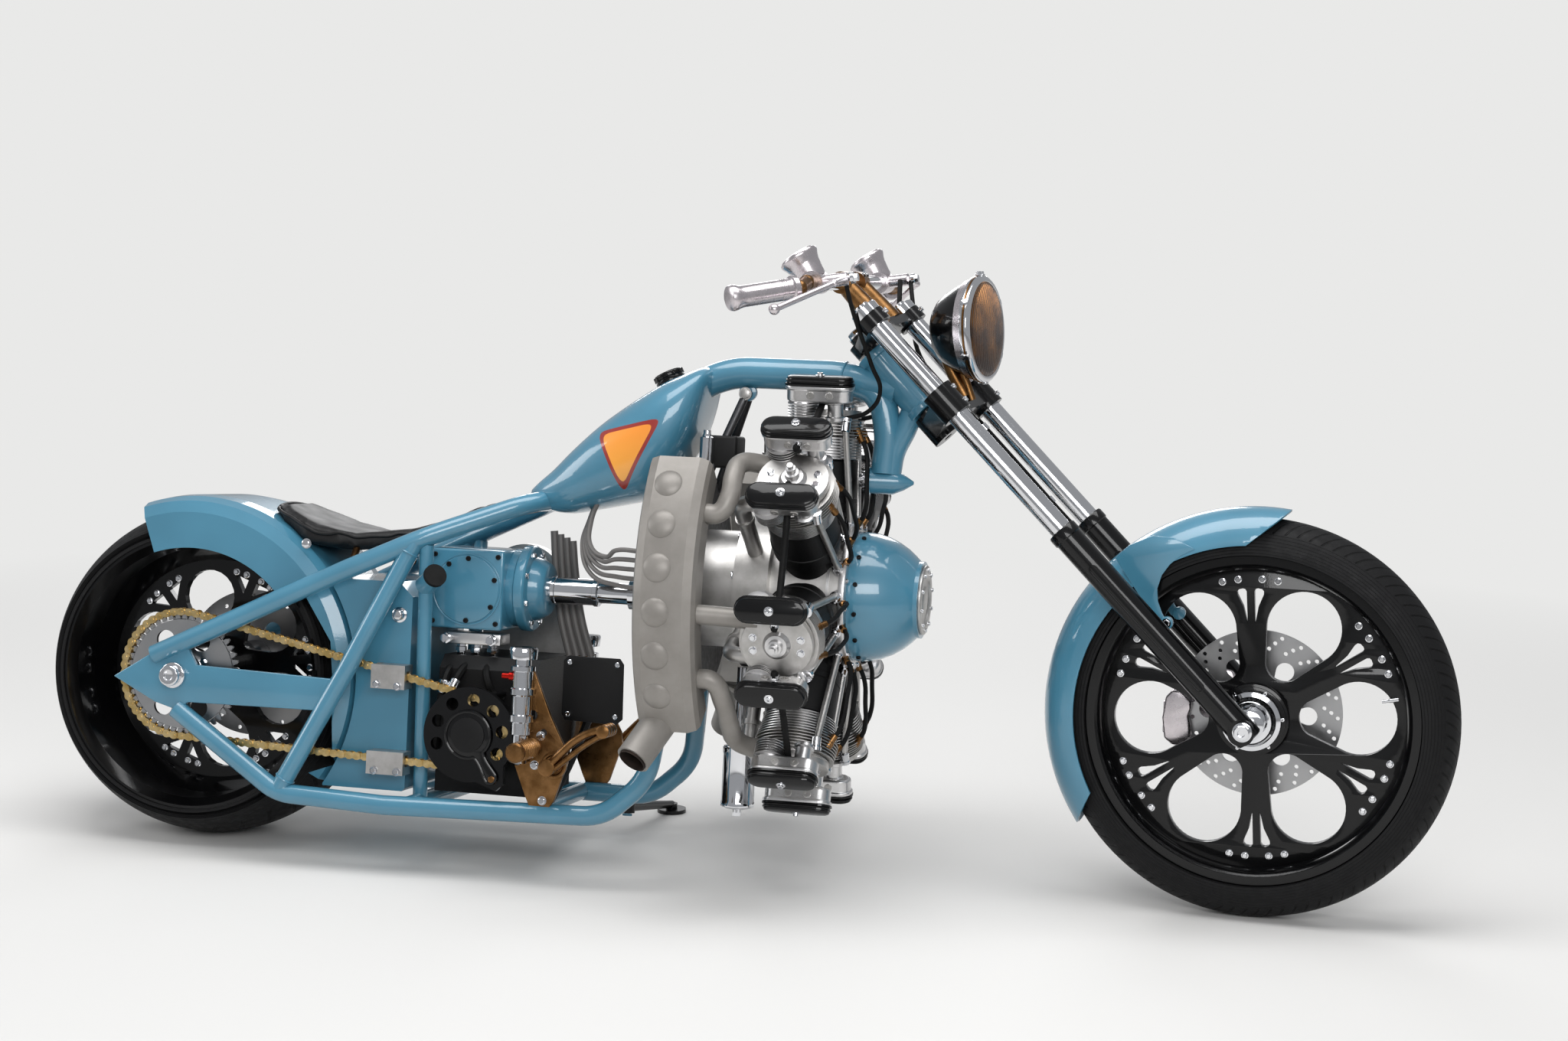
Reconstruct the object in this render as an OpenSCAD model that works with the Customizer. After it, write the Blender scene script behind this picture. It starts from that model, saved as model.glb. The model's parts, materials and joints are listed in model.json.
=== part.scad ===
// Long-fork chopper motorcycle with a seven-cylinder radial engine.
// Bike axes: X forward from the rear axle, Y to the rider's left, Z up, millimetres.
// The upright bike is drawn first; place_bike() leans it onto its side stand.

/* [Stance] */
// Lean of the parked bike towards its side stand, degrees
lean = 7; // [5:0.5:9]
// Steering angle at rest, degrees, negative to the rider's right
steer_rest = -6; // [-10:1:10]
// Distance between the axles
wheelbase = 2050; // [1950:10:2200]
// Steering head angle from the vertical
rake = 45; // [43:0.5:47]

/* [Front wheel] */
// Radius over the front tyre
front_tyre_r = 370; // [350:1:390]
// Radius of the front tyre's round section
front_section_r = 63; // [55:1:68]
// Radius over the front rim's lips
front_lip_r = 305; // [295:1:312]
// Half the width between the rim lips' inner faces
front_bead_half = 44; // [38:1:48]
// Radius of the front brake disc
front_disc_r = 155; // [130:1:165]

/* [Rear wheel] */
// Radius over the rear tyre
rear_tyre_r = 328; // [315:1:340]
// Half the width of the rear tyre
rear_tyre_half = 145; // [140:1:148]
// Crown radius of the rear tyre
rear_crown_r = 260; // [220:5:400]
// Radius over the rear rim's lips
rear_lip_r = 268; // [262:1:272]
// Radius of the rear brake disc
rear_disc_r = 150; // [130:1:160]

/* [Fork] */
// Distance from the leg line back to the steering axis
fork_offset = 69; // [60:1:80]
// Spacing of the fork legs, centre to centre
leg_gap = 270; // [260:1:290]
// Radius of a chrome fork tube
fork_tube_r = 20.5; // [19:0.5:24]
// Radius of a black slider
slider_r = 26; // [25:0.5:29]
// Height of the slider's top above the axle, along the leg
slider_top = 478; // [440:1:520]
// Underside of the lower fork tree, along the leg
lower_tree_z = 767; // [740:1:790]
// Thickness of the lower fork tree
lower_tree_h = 60; // [50:1:64]
// Underside of the upper fork tree, along the leg
upper_tree_z = 988; // [970:1:1010]
// Thickness of the upper fork tree
upper_tree_h = 26; // [20:1:32]

/* [Frame] */
// Radius of the side rails
rail_r = 19; // [16:0.5:20]
// Radius of the backbone and down tube
backbone_r = 30; // [26:1:32]
// Radius of the steering neck
neck_r = 32; // [28:1:36]
// Distance of the rear axle plates from the middle plane
plate_y = 205; // [203:1:210]
// Thickness of the rear axle plates
plate_t = 12; // [8:1:14]
// Radius of both axles
axle_r = 12.5; // [10:0.5:14]

/* [Engine] */
// Height of the crankshaft above the ground
crank_z = 550; // [545:1:555]
// Place of the cylinder axes along the bike
cylinder_x = 1219; // [1210:1:1225]
// Radius of the crankcase
crankcase_r = 126; // [120:1:130]
// Radius of a finned barrel
fin_r = 76; // [70:1:77]
// Distance of a rocker cover's top from the crankshaft
rocker_top_r = 421; // [410:1:430]
// Half the angle between the two rocker boxes of a cylinder
rocker_angle = 11; // [10:0.5:12]
// Outer radius of the exhaust collectors from the crankshaft
collector_r = 397; // [390:1:410]

/* [Drive] */
// Pitch radius of the rear sprocket
rear_pitch_r = 121; // [110:1:125]
// Pitch radius of the front sprocket
front_pitch_r = 67; // [55:1:70]
// Middle of the chain, sideways
chain_y = 172; // [171:0.5:173]
// Width of the chain
chain_w = 18; // [14:1:18]
// Half the height of the chain's links
link_half = 10; // [8:1:11]

/* [Hidden] */
$fn = 64;
seat_gap = 0.3;
run_gap = 5;
weld = 1.5;

leg_back = 6;
rear_axle_z = rear_tyre_r - rear_crown_r + rear_crown_r / cos(lean);
// the front tyre touches the ground while steered and leaned
front_tilt = -cos(lean) * sin(steer_rest) * sin(rake) - sin(lean) * cos(steer_rest);
front_hub_z = (front_tyre_r - front_section_r) * sqrt(1 - front_tilt * front_tilt) + front_section_r;
steer_arm = fork_offset + leg_back;
front_axle_z = (front_hub_z + sin(lean) * steer_arm * sin(steer_rest)) / cos(lean)
    + steer_arm * (1 - cos(steer_rest)) * sin(rake);
leg_y = leg_gap / 2;
fork_top = upper_tree_z + upper_tree_h;
neck_bottom = lower_tree_z + lower_tree_h + 5;
neck_top = upper_tree_z - 5;
stem_r = 15;
stem_bore_r = 16;

transmission = [600, 255];
gearbox_z = 527;
plate_in = plate_y - plate_t / 2;
plate_out = plate_y + plate_t / 2;
cylinder_count = 7;
cylinder_step = 360 / cylinder_count;
middle_shift = [-1045.4, -110.9, 0];

blue = "#4f9fb3";
black = "#151517";
chrome = "#dfe3e6";
bronze = "#8a6238";
satin = "#a9a7a4";
silver = "#c4c6c8";

// ---------------------------------------------------------------- helpers

// Leans the upright bike and sets its middle over the origin
module place_bike() {
    translate(middle_shift) rotate([-lean, 0, 0]) children();
}

// Fork frame: origin at the front axle, Z up along the legs, X ahead
module place_fork() {
    place_bike() translate([wheelbase, 0, front_axle_z]) rotate([0, -rake, 0])
        translate([-steer_arm, 0, 0]) rotate([0, 0, steer_rest]) translate([steer_arm, 0, 0])
        children();
}

// Front wheel frame: axle along Y, X ahead, Z up before steering
module place_front_wheel() {
    place_fork() rotate([0, rake, 0]) children();
}

module place_rear_wheel() {
    place_bike() translate([0, 0, rear_axle_z]) children();
}

module mirror_pair() {
    children();
    mirror([0, 1, 0]) children();
}

// Stands children at a, with Z towards b
module aim(a, b) {
    d = b - a;
    translate(a) rotate([0, acos(d[2] / norm(d)), atan2(d[1], d[0])]) children();
}

module rod(a, b, r, r2 = 0) {
    aim(a, b) cylinder(h = norm(b - a), r1 = r, r2 = r2 == 0 ? r : r2);
}

// Welded tube along straight runs, with a bead at each corner
module tube(points, r) {
    for (i = [0:len(points) - 2]) rod(points[i], points[i + 1], r);
    if (len(points) > 2)
        for (i = [1:len(points) - 2]) aim(points[i], points[i + 1]) sphere(r = r + weld);
}

// Plate in the XZ plane from y0 to y1
module side_plate(points, y0, y1) {
    translate([0, y1, 0]) rotate([90, 0, 0]) linear_extrude(y1 - y0) polygon(points);
}

// Cylinder along Y
module cross_pin(x, z, r, y0, y1) {
    translate([x, y1, z]) rotate([90, 0, 0]) cylinder(h = y1 - y0, r = r);
}

// Cylinder along X
module along_pin(x0, x1, y, z, r, r2 = 0) {
    translate([x0, y, z]) rotate([0, 90, 0]) cylinder(h = x1 - x0, r1 = r, r2 = r2 == 0 ? r : r2);
}

function arc_points(c, r, a0, a1, n) =
    [for (i = [0:n]) c + r * [cos(a0 + (a1 - a0) * i / n), sin(a0 + (a1 - a0) * i / n)]];

// Outline of a belt round two circles
function belt(c1, r1, c2, r2, n = 16) =
    let (d = c2 - c1, a = atan2(d[1], d[0]), b = acos((r1 - r2) / norm(d)))
    concat(arc_points(c1, r1, a + b, a + 360 - b, n), arc_points(c2, r2, a - b, a + b, n));

// Slot of length l over its round ends, along X
function slot_outline(l, r, n = 8) = belt([-l / 2 + r, 0], r, [l / 2 - r, 0], r, n);

// Point at an angle from straight up about the crankshaft, positive to the right side
function round_crank(x, r, a) = [x, -r * sin(a), crank_z + r * cos(a)];

module on_cylinder(i, turn = 0) {
    translate([cylinder_x, 0, crank_z]) rotate([i * cylinder_step + turn, 0, 0]) children();
}

// ---------------------------------------------------------------- frame

backbone = [[700, 0, 706], [900, 0, 880], [985, 0, 948], [1040, 0, 966], [1240, 0, 966], [1350, 0, 944]];
upper_rail = [[-48, -plate_y, 366], [108, -plate_y, 440], [332, -190, 551], [488, -160, 625],
    [655, -75, 695], [700, 0, 706]];
lower_rail = [[5, -plate_y, 265], [221, -plate_y, 118], [435, -200, 109], [735, -180, 114],
    [852, -175, 123], [903, -175, 159], [931, -173, 197], [952, -165, 240], [968, -122, 420]];
diagonal = [[225, -plate_y, 126], [355, -plate_y, 370], [462, -165, 611]];
spine_r = 17;
tank_front = 985;

module backbone_tube(grow = 0) {
    tube([backbone[1], backbone[2], backbone[3], backbone[4], backbone[5]], backbone_r + grow);
    rod(backbone[0], backbone[1], spine_r + grow);
}

module neck_frame() {
    translate([wheelbase, 0, front_axle_z]) rotate([0, -rake, 0]) translate([-steer_arm, 0, 0]) children();
}

module down_tube() {
    rod([1352, 0, 920], [1340, 0, 770], backbone_r);
    rod([1318, 0, 944], [1340, 0, 800], backbone_r - 4);
    along_pin(1308, 1350, 0, 770, 23);
    along_pin(1350, 1392, 0, 770, 22.9, 4);
}

module neck_and_backbone() {
    color(blue) place_bike() difference() {
        union() {
            backbone_tube();
            neck_frame() translate([0, 0, neck_bottom]) cylinder(h = neck_top - neck_bottom, r = neck_r);
            down_tube();
            side_plate([[1063 - 17, 912], [1063 + 17, 912], [1063 + 17, 945], [1063 - 17, 945]], -6, 6);
        }
        neck_frame() translate([0, 0, neck_bottom - 60]) cylinder(h = neck_top - neck_bottom + 120, r = stem_bore_r);
        neck_frame() translate([0, 0, neck_top]) cylinder(h = 60, r = 70);
        neck_frame() translate([0, 0, neck_bottom - 60]) cylinder(h = 60, r = 60);
        cross_pin(1063, 925, 5, -20, 20);
    }
}

// The same points on the bike's left side
function on_left(points) = [for (p = points) [p[0], -p[1], p[2]]];

module axle_plate() {
    side_plate([[-127, 320], [-46, 372], [20, 396], [45, 352], [328, 343], [305, 281], [30, 279],
        [10, 262], [-40, 276]], -plate_t / 2, plate_t / 2);
}

// One side of the frame: two rails, the diagonal between them and the axle plate
module frame_side(upper, lower, brace, y) {
    difference() {
        union() {
            tube([for (i = [0:4]) upper[i]], rail_r);
            tube(lower, rail_r);
            tube(brace, rail_r - 1);
            translate([0, y, 0]) axle_plate();
            along_pin(940, 988, y < 0 ? -122 : 122, 420, 25);
        }
        cross_pin(0, rear_axle_z, axle_r + seat_gap, y - 40, y + 40);
    }
}

module right_frame() {
    color(blue) place_bike() frame_side(upper_rail, lower_rail, diagonal, -plate_y);
}

module left_frame() {
    color(blue) place_bike() frame_side(on_left(upper_rail), on_left(lower_rail), on_left(diagonal), plate_y);
}

post_foot = [484, -132, 112];
post_head = [484, -158, 622];
post_r = 14;
module post(grow = 0) {
    rod(post_foot, post_head, post_r + grow);
}

module cross_tubes() {
    difference() {
        union() {
            mirror_pair() post();
            rod([484, -155, 530], [512, -186, 549], 20);
            rod([484, -194, 112], [484, 194, 112], 17);
            rod([715, -180, 114], [715, 180, 114], 17);
            rod([655, -75, 695], [655, 75, 695], 17);
        }
        mirror_pair() {
            tube([for (i = [0:4]) upper_rail[i]], rail_r);
            tube([for (i = [1:4]) lower_rail[i]], rail_r);
            rod(diagonal[1], diagonal[2], rail_r - 1);
        }
        rod(backbone[0], backbone[1], spine_r);
    }
}

module frame_cross_tubes() {
    color(blue) place_bike() cross_tubes();
}

// ---------------------------------------------------------------- bodywork

tank_side = [[640, 716], [676, 690], [700, 672], [887, 712], [961, 790], [985, 880], [1000, 960],
    [985, 976], [911, 940], [765, 842], [690, 760]];
tank_plan = [[640, 0], [642, 30], [680, 48], [760, 86], [860, 118], [925, 124], [975, 105],
    [1000, 62], [1002, 0]];

module fuel_tank() {
    color(blue) place_bike() difference() {
        intersection() {
            side_plate(tank_side, -150, 150);
            translate([0, 0, 600]) linear_extrude(450)
                polygon(concat(tank_plan, [for (i = [len(tank_plan) - 1:-1:0]) [tank_plan[i][0], -tank_plan[i][1]]]));
        }
        backbone_tube(seat_gap + weld);
        mirror_pair() tube([for (i = [3:4]) upper_rail[i]], rail_r + seat_gap);
        rod([655, -75, 695], [655, 75, 695], 17 + seat_gap);
        rod([655, 0, 695], [700, 0, 706], rail_r + seat_gap);
        mirror_pair() translate(upper_rail[4]) sphere(r = rail_r + weld + seat_gap);
        fuel_cap_body(seat_gap);
    }
}

module fuel_cap_body(grow = 0) {
    translate([915, 0, 932]) rotate([0, -27, 0]) {
        translate([0, 0, 9 - grow]) cylinder(h = 21, r = 26 + grow);
        if (grow == 0) translate([0, 0, 18]) cylinder(h = 7, r = 29);
    }
}

module fuel_cap() {
    color(blue) place_bike() fuel_cap_body();
}

seat_side = [[134, 674], [175, 654], [240, 629], [320, 614], [420, 628], [500, 655], [572, 698],
    [572, 683], [500, 632], [420, 606], [320, 592], [240, 598], [175, 624], [130, 648]];
seat_plan = [[130, 0], [134, 60], [165, 108], [220, 132], [290, 132], [360, 108], [440, 66], [520, 40],
    [565, 26], [574, 0]];

module seat() {
    color(black) place_bike() difference() {
        intersection() {
            side_plate(seat_side, -150, 150);
            translate([0, 0, 500]) linear_extrude(300)
                polygon(concat(seat_plan, [for (i = [len(seat_plan) - 1:-1:0]) [seat_plan[i][0], -seat_plan[i][1]]]));
        }
        cross_pin(0, rear_axle_z, fender_r + seat_gap, -200, 200);
    }
}

// Bronze straps from the upper rails to the seat, and a strap at its nose
module seat_brackets() {
    color(bronze) place_bike() difference() {
        union() {
            mirror_pair() rod([338, -176, 556], [318, -88, 598], 7);
            rod([520, 0, 655], [600, 0, 672], 7);
            rod([600, 0, 672], [655, 0, 684], 7);
        }
        mirror_pair() tube([upper_rail[1], upper_rail[2], upper_rail[3]], rail_r + seat_gap);
        side_plate(seat_side, -150, 150);
        rod([655, -75, 695], [655, 75, 695], 17 + seat_gap);
    }
}

fender_r = rear_tyre_r + 21;
fender_t = 4;
fender_in = rear_tyre_half + 6;
module rear_fender() {
    color(blue) place_rear_wheel() difference() {
        rotate([90, 0, 0]) rotate([0, 0, -34]) rotate_extrude(angle = 143) fender_section();
        side_plate([[150, 100], [236, 171], [296, 80], [306, -20], [306, -160], [200, -200]], -200, 200);
        side_plate([[-160, 210], [-119, 330], [-121, 400], [-200, 400]], -200, 200);
    }
}

// Half outline of the fender's cross-section at a depth below its outer skin
function fender_edge(skirt_r, depth) = let (r = fender_r - depth, w = fender_in + fender_t - depth)
    [[skirt_r, w], [r - 34, w], [r - 12, w - 10], [r - 3, w - 34], [r, w - 70]];

module fender_section() {
    outer = fender_edge(245, 0);
    inner = fender_edge(245, fender_t);
    polygon(concat(outer, [for (i = [4:-1:0]) [outer[i][0], -outer[i][1]]],
        [for (i = [0:4]) [inner[i][0], -inner[i][1]]], [for (i = [4:-1:0]) inner[i]]));
}

// Rubber cap on the filler neck that branches off the right post
module oil_filler_cap() {
    d = [28, -31, 19] / norm([28, -31, 19]);
    color(black) place_bike() rod([512, -186, 549] + d * seat_gap, [512, -186, 549] + d * 9, 22);
}

oil_tank_half = 150;
module oil_tank() {
    color(blue) place_bike() difference() {
        side_plate([[290, 131], [452, 131], [458, 137], [458, 505], [430, 533], [290, 533]],
            -oil_tank_half, oil_tank_half);
        cross_pin(0, rear_axle_z, fender_r + seat_gap, -200, 200);
    }
}

// ---------------------------------------------------------------- rear wheel

module rear_axle() {
    color(chrome) place_rear_wheel() {
        cross_pin(0, 0, axle_r, -plate_out - 22, plate_out + 22);
        mirror_pair() {
            cross_pin(0, 0, 20, -plate_out - 20, -plate_out - seat_gap);
            cross_pin(0, 0, 22, -plate_in + seat_gap, -chain_y - 14);
        }
    }
}

rear_bead_half = 135;
rear_bead_r = 258;
module rear_tyre() {
    color(black) place_rear_wheel() rotate([90, 0, 0]) rotate_extrude() difference() {
        intersection() {
            translate([rear_tyre_r - rear_crown_r, 0]) circle(r = rear_crown_r, $fn = 160);
            translate([240, -rear_tyre_half]) square([100, 2 * rear_tyre_half]);
        }
        translate([200, -160]) square([rear_bead_r + seat_gap - 200, 320]);
        for (s = [-1, 1]) {
            translate([200, s > 0 ? rear_bead_half - seat_gap : -160])
                square([rear_lip_r + seat_gap - 200, 160 - rear_bead_half + seat_gap]);
            translate([rear_lip_r + 20, s * (rear_tyre_half + 3)]) rotate(40 * s) square([40, 12], center = true);
        }
    }
}

module wheel_spokes(disc_r, egg_r, egg_c, inner_r, inner_c, tri_r, half_t) {
    translate([0, half_t, 0]) rotate([90, 0, 0]) linear_extrude(2 * half_t) difference() {
        circle(r = disc_r);
        for (i = [0:5]) rotate(i * 60 + 30) polygon(belt([egg_c, 0], egg_r, [inner_c, 0], inner_r));
        for (i = [0:5], s = [-1, 1]) rotate(i * 60)
            polygon([[tri_r, s * 9], [tri_r * 1.18, s * 9], [tri_r * 1.18, s * tri_r * 0.25]]);
    }
}

rear_phase = 9;
front_phase = 6;

module rear_rim() {
    color(black) place_rear_wheel() rotate([0, -rear_phase, 0]) difference() {
        union() {
            rotate([90, 0, 0]) rotate_extrude() polygon([[262, -141], [rear_lip_r, -141],
                [rear_lip_r, -rear_bead_half], [rear_bead_r, -rear_bead_half], [rear_bead_r, rear_bead_half],
                [rear_lip_r, rear_bead_half], [rear_lip_r, 141], [262, 141], [248, 122], [244, 60],
                [218, 16], [218, -4], [244, -60], [248, -122]]);
            translate([0, -6, 0]) wheel_spokes(222, 53, 145, 14, 88, 160, 9);
            cross_pin(0, 0, 60, -60, 60);
            cross_pin(0, 0, 46, -chain_y + 6, chain_y - 12);
        }
        cross_pin(0, 0, axle_r + 1, -200, 200);
    }
}

module rear_sprocket() {
    color(black) place_rear_wheel() difference() {
        union() {
            cross_pin(0, 0, rear_pitch_r - link_half - run_gap, -chain_y - 4, -chain_y + 4);
            cross_pin(0, 0, 46, -chain_y - 12, -chain_y + 6 - seat_gap);
        }
        cross_pin(0, 0, axle_r + 1, -200, 0);
        for (i = [0:5]) rotate([0, i * 60, 0]) cross_pin(74, 0, 19, -200, -100);
    }
}

module rear_brake_disc() {
    color(silver) place_rear_wheel() difference() {
        cross_pin(0, 0, rear_disc_r, chain_y - 12 + seat_gap, chain_y - 6);
        cross_pin(0, 0, axle_r + 1, 0, 200);
        for (i = [0:5]) rotate([0, i * 60, 0]) cross_pin(78, 0, 18, 100, 200);
        for (i = [0:17]) rotate([0, i * 20, 0]) cross_pin(rear_disc_r - 20 + 8 * (i % 2), 0, 4, 100, 200);
    }
}

module rear_brake_caliper() {
    color(chrome) place_rear_wheel() difference() {
        union() {
            translate([96, chain_y - 30, -45]) cube([64, 48, 80]);
            translate([100, chain_y + 18, -40]) cube([56, plate_in - chain_y - 18 - seat_gap, 50]);
        }
        translate([0, chain_y - 20, -100]) cube([rear_disc_r + run_gap, 22, 200]);
    }
}

// ---------------------------------------------------------------- drive

module drive_chain() {
    color("#c9a55c") place_bike() translate([0, -chain_y + chain_w / 2, 0]) rotate([90, 0, 0])
        linear_extrude(chain_w) difference() {
            polygon(belt([0, rear_axle_z], rear_pitch_r + link_half, transmission, front_pitch_r + link_half, 40));
            polygon(belt([0, rear_axle_z], rear_pitch_r - link_half, transmission, front_pitch_r - link_half, 40));
        }
}

// Nylon-faced plates that the chain runs between, bolted to the oil tank
module chain_guides() {
    color(silver) place_bike() difference() {
        union() {
            translate([396, -192, 330]) cube([68, 192 - oil_tank_half - seat_gap, 46]);
            translate([394, -192, 166]) cube([74, 192 - oil_tank_half - seat_gap, 44]);
        }
        translate([0, -chain_y + chain_w / 2 + 1, 0]) rotate([90, 0, 0]) linear_extrude(chain_w + 2) difference() {
            polygon(belt([0, rear_axle_z], rear_pitch_r + link_half + 1, transmission, front_pitch_r + link_half + 1, 40));
            polygon(belt([0, rear_axle_z], rear_pitch_r - link_half - 1, transmission, front_pitch_r - link_half - 1, 40));
        }
    }
}

module transmission_case() {
    color("#2b2c2e") place_bike() {
        difference() {
            union() {
                translate([508, -120, 134]) cube([196, 240, 262]);
                cross_pin(transmission[0], transmission[1], 62, -150, -119);
                cross_pin(transmission[0], transmission[1], 40, -chain_y - 5, -149);
                cross_pin(transmission[0], transmission[1], front_pitch_r - link_half - seat_gap, -chain_y - 4, -chain_y + 4);
            }
            for (s = [-1, 1]) translate([508, s * 120, 396]) rotate([45, 0, 0]) cube([400, 34, 34], center = true);
            rod([715, -180, 114], [715, 180, 114], 17 + seat_gap);
        }
    }
}

module sprocket_cover() {
    color(black) place_bike() difference() {
        union() {
            cross_pin(transmission[0], transmission[1], 90, -chain_y - 28, -chain_y - 14);
            side_plate([[transmission[0] - 6, 175], [658, 152], [672, 166], [transmission[0] + 70, 215]],
                -chain_y - 28, -chain_y - 14);
            for (a = [62, 0, -62]) cross_pin(transmission[0] + 84.5 * cos(a), transmission[1] + 84.5 * sin(a), 5,
                -chain_y - 15, -120 - seat_gap);
        }
        for (i = [0:6]) cross_pin(transmission[0] + 66 * cos(i * 38 - 30), transmission[1] + 66 * sin(i * 38 - 30),
            12, -chain_y - 40, -chain_y - 5);
    }
}

gearbox_half = 90;
module gearbox() {
    color(blue) place_bike() {
        difference() {
            union() {
                side_plate([[466, 446], [617, 446], [617, 600], [466, 600]], -gearbox_half, gearbox_half);
                cross_pin(545, 523, 70, -gearbox_half - 4, -gearbox_half + 1);
                along_pin(616, 634, 0, gearbox_z, 76);
                along_pin(633, 656, 0, gearbox_z, 84);
                along_pin(655, 686, 0, gearbox_z, 62, 46);
                cross_pin(583, 525, 34, gearbox_half - 1, 150 - seat_gap);
                translate([500, -50, 396 + seat_gap]) cube([110, 100, 60]);
            }
            along_pin(668, 700, 0, gearbox_z, 26 + seat_gap);
        }
    }
}

module drive_shaft() {
    color(chrome) place_bike() {
        along_pin(668 + seat_gap, 786, 0, gearbox_z, 26);
        along_pin(785, 850, 0, gearbox_z, 21);
        along_pin(849, 900, 0, gearbox_z, 30);
    }
}

module belt_cover() {
    color(silver) place_bike() translate([0, 178, 0]) rotate([90, 0, 0]) linear_extrude(28)
        polygon(belt(transmission, 104, [583, 525], 82, 32));
}

// ---------------------------------------------------------------- engine

module crankcase_body() {
    along_pin(1150, 1292, 0, crank_z, crankcase_r);
    along_pin(1085, 1151, 0, crank_z, 150);
    along_pin(1000, 1086, 0, crank_z, 112);
    along_pin(900 + seat_gap, 1001, 0, crank_z, 78);
}

module crankcase() {
    color(silver) place_bike() crankcase_body();
}

module nose_case() {
    color(blue) place_bike() {
        translate([1292 + seat_gap, 0, crank_z]) rotate([0, 90, 0]) rotate_extrude()
            polygon([[0, 0], [124, 0], [124, 8], [118, 9], [116, 30], [110, 58], [100, 82], [86, 104], [72, 118],
                [68, 122], [68, 130], [0, 130]]);
    }
}

barrel_r = 64;
barrel_top = 302;
fin_start = 262;
fin_step = 8;
module barrel() {
    difference() {
        union() {
            translate([0, 0, 100]) cylinder(h = 60, r = 52);
            translate([0, 0, 150]) cylinder(h = fin_start - 150, r = barrel_r);
            translate([0, 0, fin_start - 1]) cylinder(h = barrel_top - fin_start + 1, r = 56);
            for (i = [0:4]) translate([0, 0, fin_start + i * fin_step]) cylinder(h = 4, r = fin_r);
        }
        translate([-200, 0, 0]) rotate([0, 90, 0]) cylinder(h = 400, r = crankcase_r + seat_gap);
        translate([-200, 0, 0]) rotate([0, 90, 0]) cylinder(h = 132, r = 150 + seat_gap);
    }
}

module cylinder_barrels() {
    color("#3a3a3c") place_bike() for (i = [0:cylinder_count - 1]) on_cylinder(i) barrel();
}

box_top = rocker_top_r - 18;
module head() {
    translate([0, 0, barrel_top + seat_gap]) cylinder(h = 40, r = 58);
    for (i = [0:4]) translate([0, 0, barrel_top + seat_gap + i * fin_step]) cylinder(h = 4, r = 80);
    translate([0, 0, barrel_top + 36]) linear_extrude(14) polygon(slot_outline(132, 56));
    for (s = [-1, 1]) rotate([s * rocker_angle, 0, 0]) translate([0, 0, 340])
        linear_extrude(box_top - 340) polygon(slot_outline(126, 22));
}

module cylinder_heads() {
    color(silver) place_bike() for (i = [0:cylinder_count - 1]) on_cylinder(i) head();
}

module rocker_covers() {
    color(black) place_bike() for (i = [0:cylinder_count - 1], s = [-1, 1]) on_cylinder(i, s * rocker_angle) {
        translate([0, 0, box_top + seat_gap]) linear_extrude(5) polygon(slot_outline(134, 25));
        translate([0, 0, box_top + 4]) linear_extrude(14) polygon(slot_outline(126, 21));
    }
}

module pushrod_tubes() {
    color(silver) place_bike() for (i = [0:cylinder_count - 1]) on_cylinder(i) difference() {
        for (s = [-1, 1]) rod([64, s * 34, 118], [48, s * 66, 345], 6.5);
        translate([-200, 0, 0]) rotate([0, 90, 0]) cylinder(h = 400, r = crankcase_r + seat_gap);
        for (s = [-1, 1]) rotate([s * rocker_angle, 0, 0]) translate([0, 0, 340 - seat_gap])
            linear_extrude(40) polygon(slot_outline(126 + 2 * seat_gap, 22 + seat_gap));
        translate([0, 0, barrel_top]) cylinder(h = 38, r = 80 + seat_gap);
        translate([0, 0, fin_start - seat_gap]) cylinder(h = 41, r = fin_r + seat_gap);
    }
}

module intake_pipes() {
    color(satin) place_bike() for (i = [0:cylinder_count - 1]) on_cylinder(i, i < 4 ? 6 : -6) difference() {
        tube([[-98, 0, 140], [-98, 0, 318], [-50, 0, 318]], 15);
        translate([-300, 0, 0]) rotate([0, 90, 0]) cylinder(h = 400, r = 150 + seat_gap);
        rotate([i < 4 ? -6 : 6, 0, 0]) translate([0, 0, 200]) cylinder(h = 200, r = 80 + seat_gap);
    }
}

stub_r = 18;
module stub(points) {
    tube(points, stub_r);
}

module right_stubs() {
    stub([[1070, -322, 700], [1104, -322, 706], [1114, -292, 772], [1120, -244, 795], [1180, -226, 782]]);
    stub([round_crank(1070, 352, 95), round_crank(1180, 338, 96)]);
    stub([[1070, -322, 402], [1106, -318, 396], [1118, -262, 318], [1126, -196, 268], [1180, -182, 268]]);
}

module exhaust_stubs() {
    color(satin) place_bike() difference() {
        mirror_pair() right_stubs();
        translate([958, -collector_r - 10, 0]) cube([116 + seat_gap, 2 * collector_r + 20, 1200]);
        for (i = [0:cylinder_count - 1]) on_cylinder(i) {
            translate([0, 0, 200]) cylinder(h = 200, r = 80 + seat_gap);
            for (s = [-1, 1]) rotate([s * rocker_angle, 0, 0]) translate([0, 0, 340 - seat_gap])
                linear_extrude(90) polygon(slot_outline(134 + 2 * seat_gap, 25 + seat_gap));
        }
    }
}

module collector_shape() {
    difference() {
        union() {
            translate([0, 0, crank_z]) rotate([0, 90, 0]) rotate([0, 0, -90 - 39]) rotate_extrude(angle = 78)
                translate([collector_r - 78, 958]) polygon([[12, 0], [58, 0], [70, 5], [78, 20], [78, 96], [70, 111],
                    [58, 116], [12, 116], [0, 104], [0, 12]]);
            rod([1012, -268, 345], [966, -352, 250], 32);
        }
        rod([998, -294, 316], [958, -367, 234], 27);
    }
}

module right_collector() {
    color(satin) place_bike() collector_shape();
}

module left_collector() {
    color(satin) place_bike() mirror([0, 1, 0]) collector_shape();
}

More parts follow.
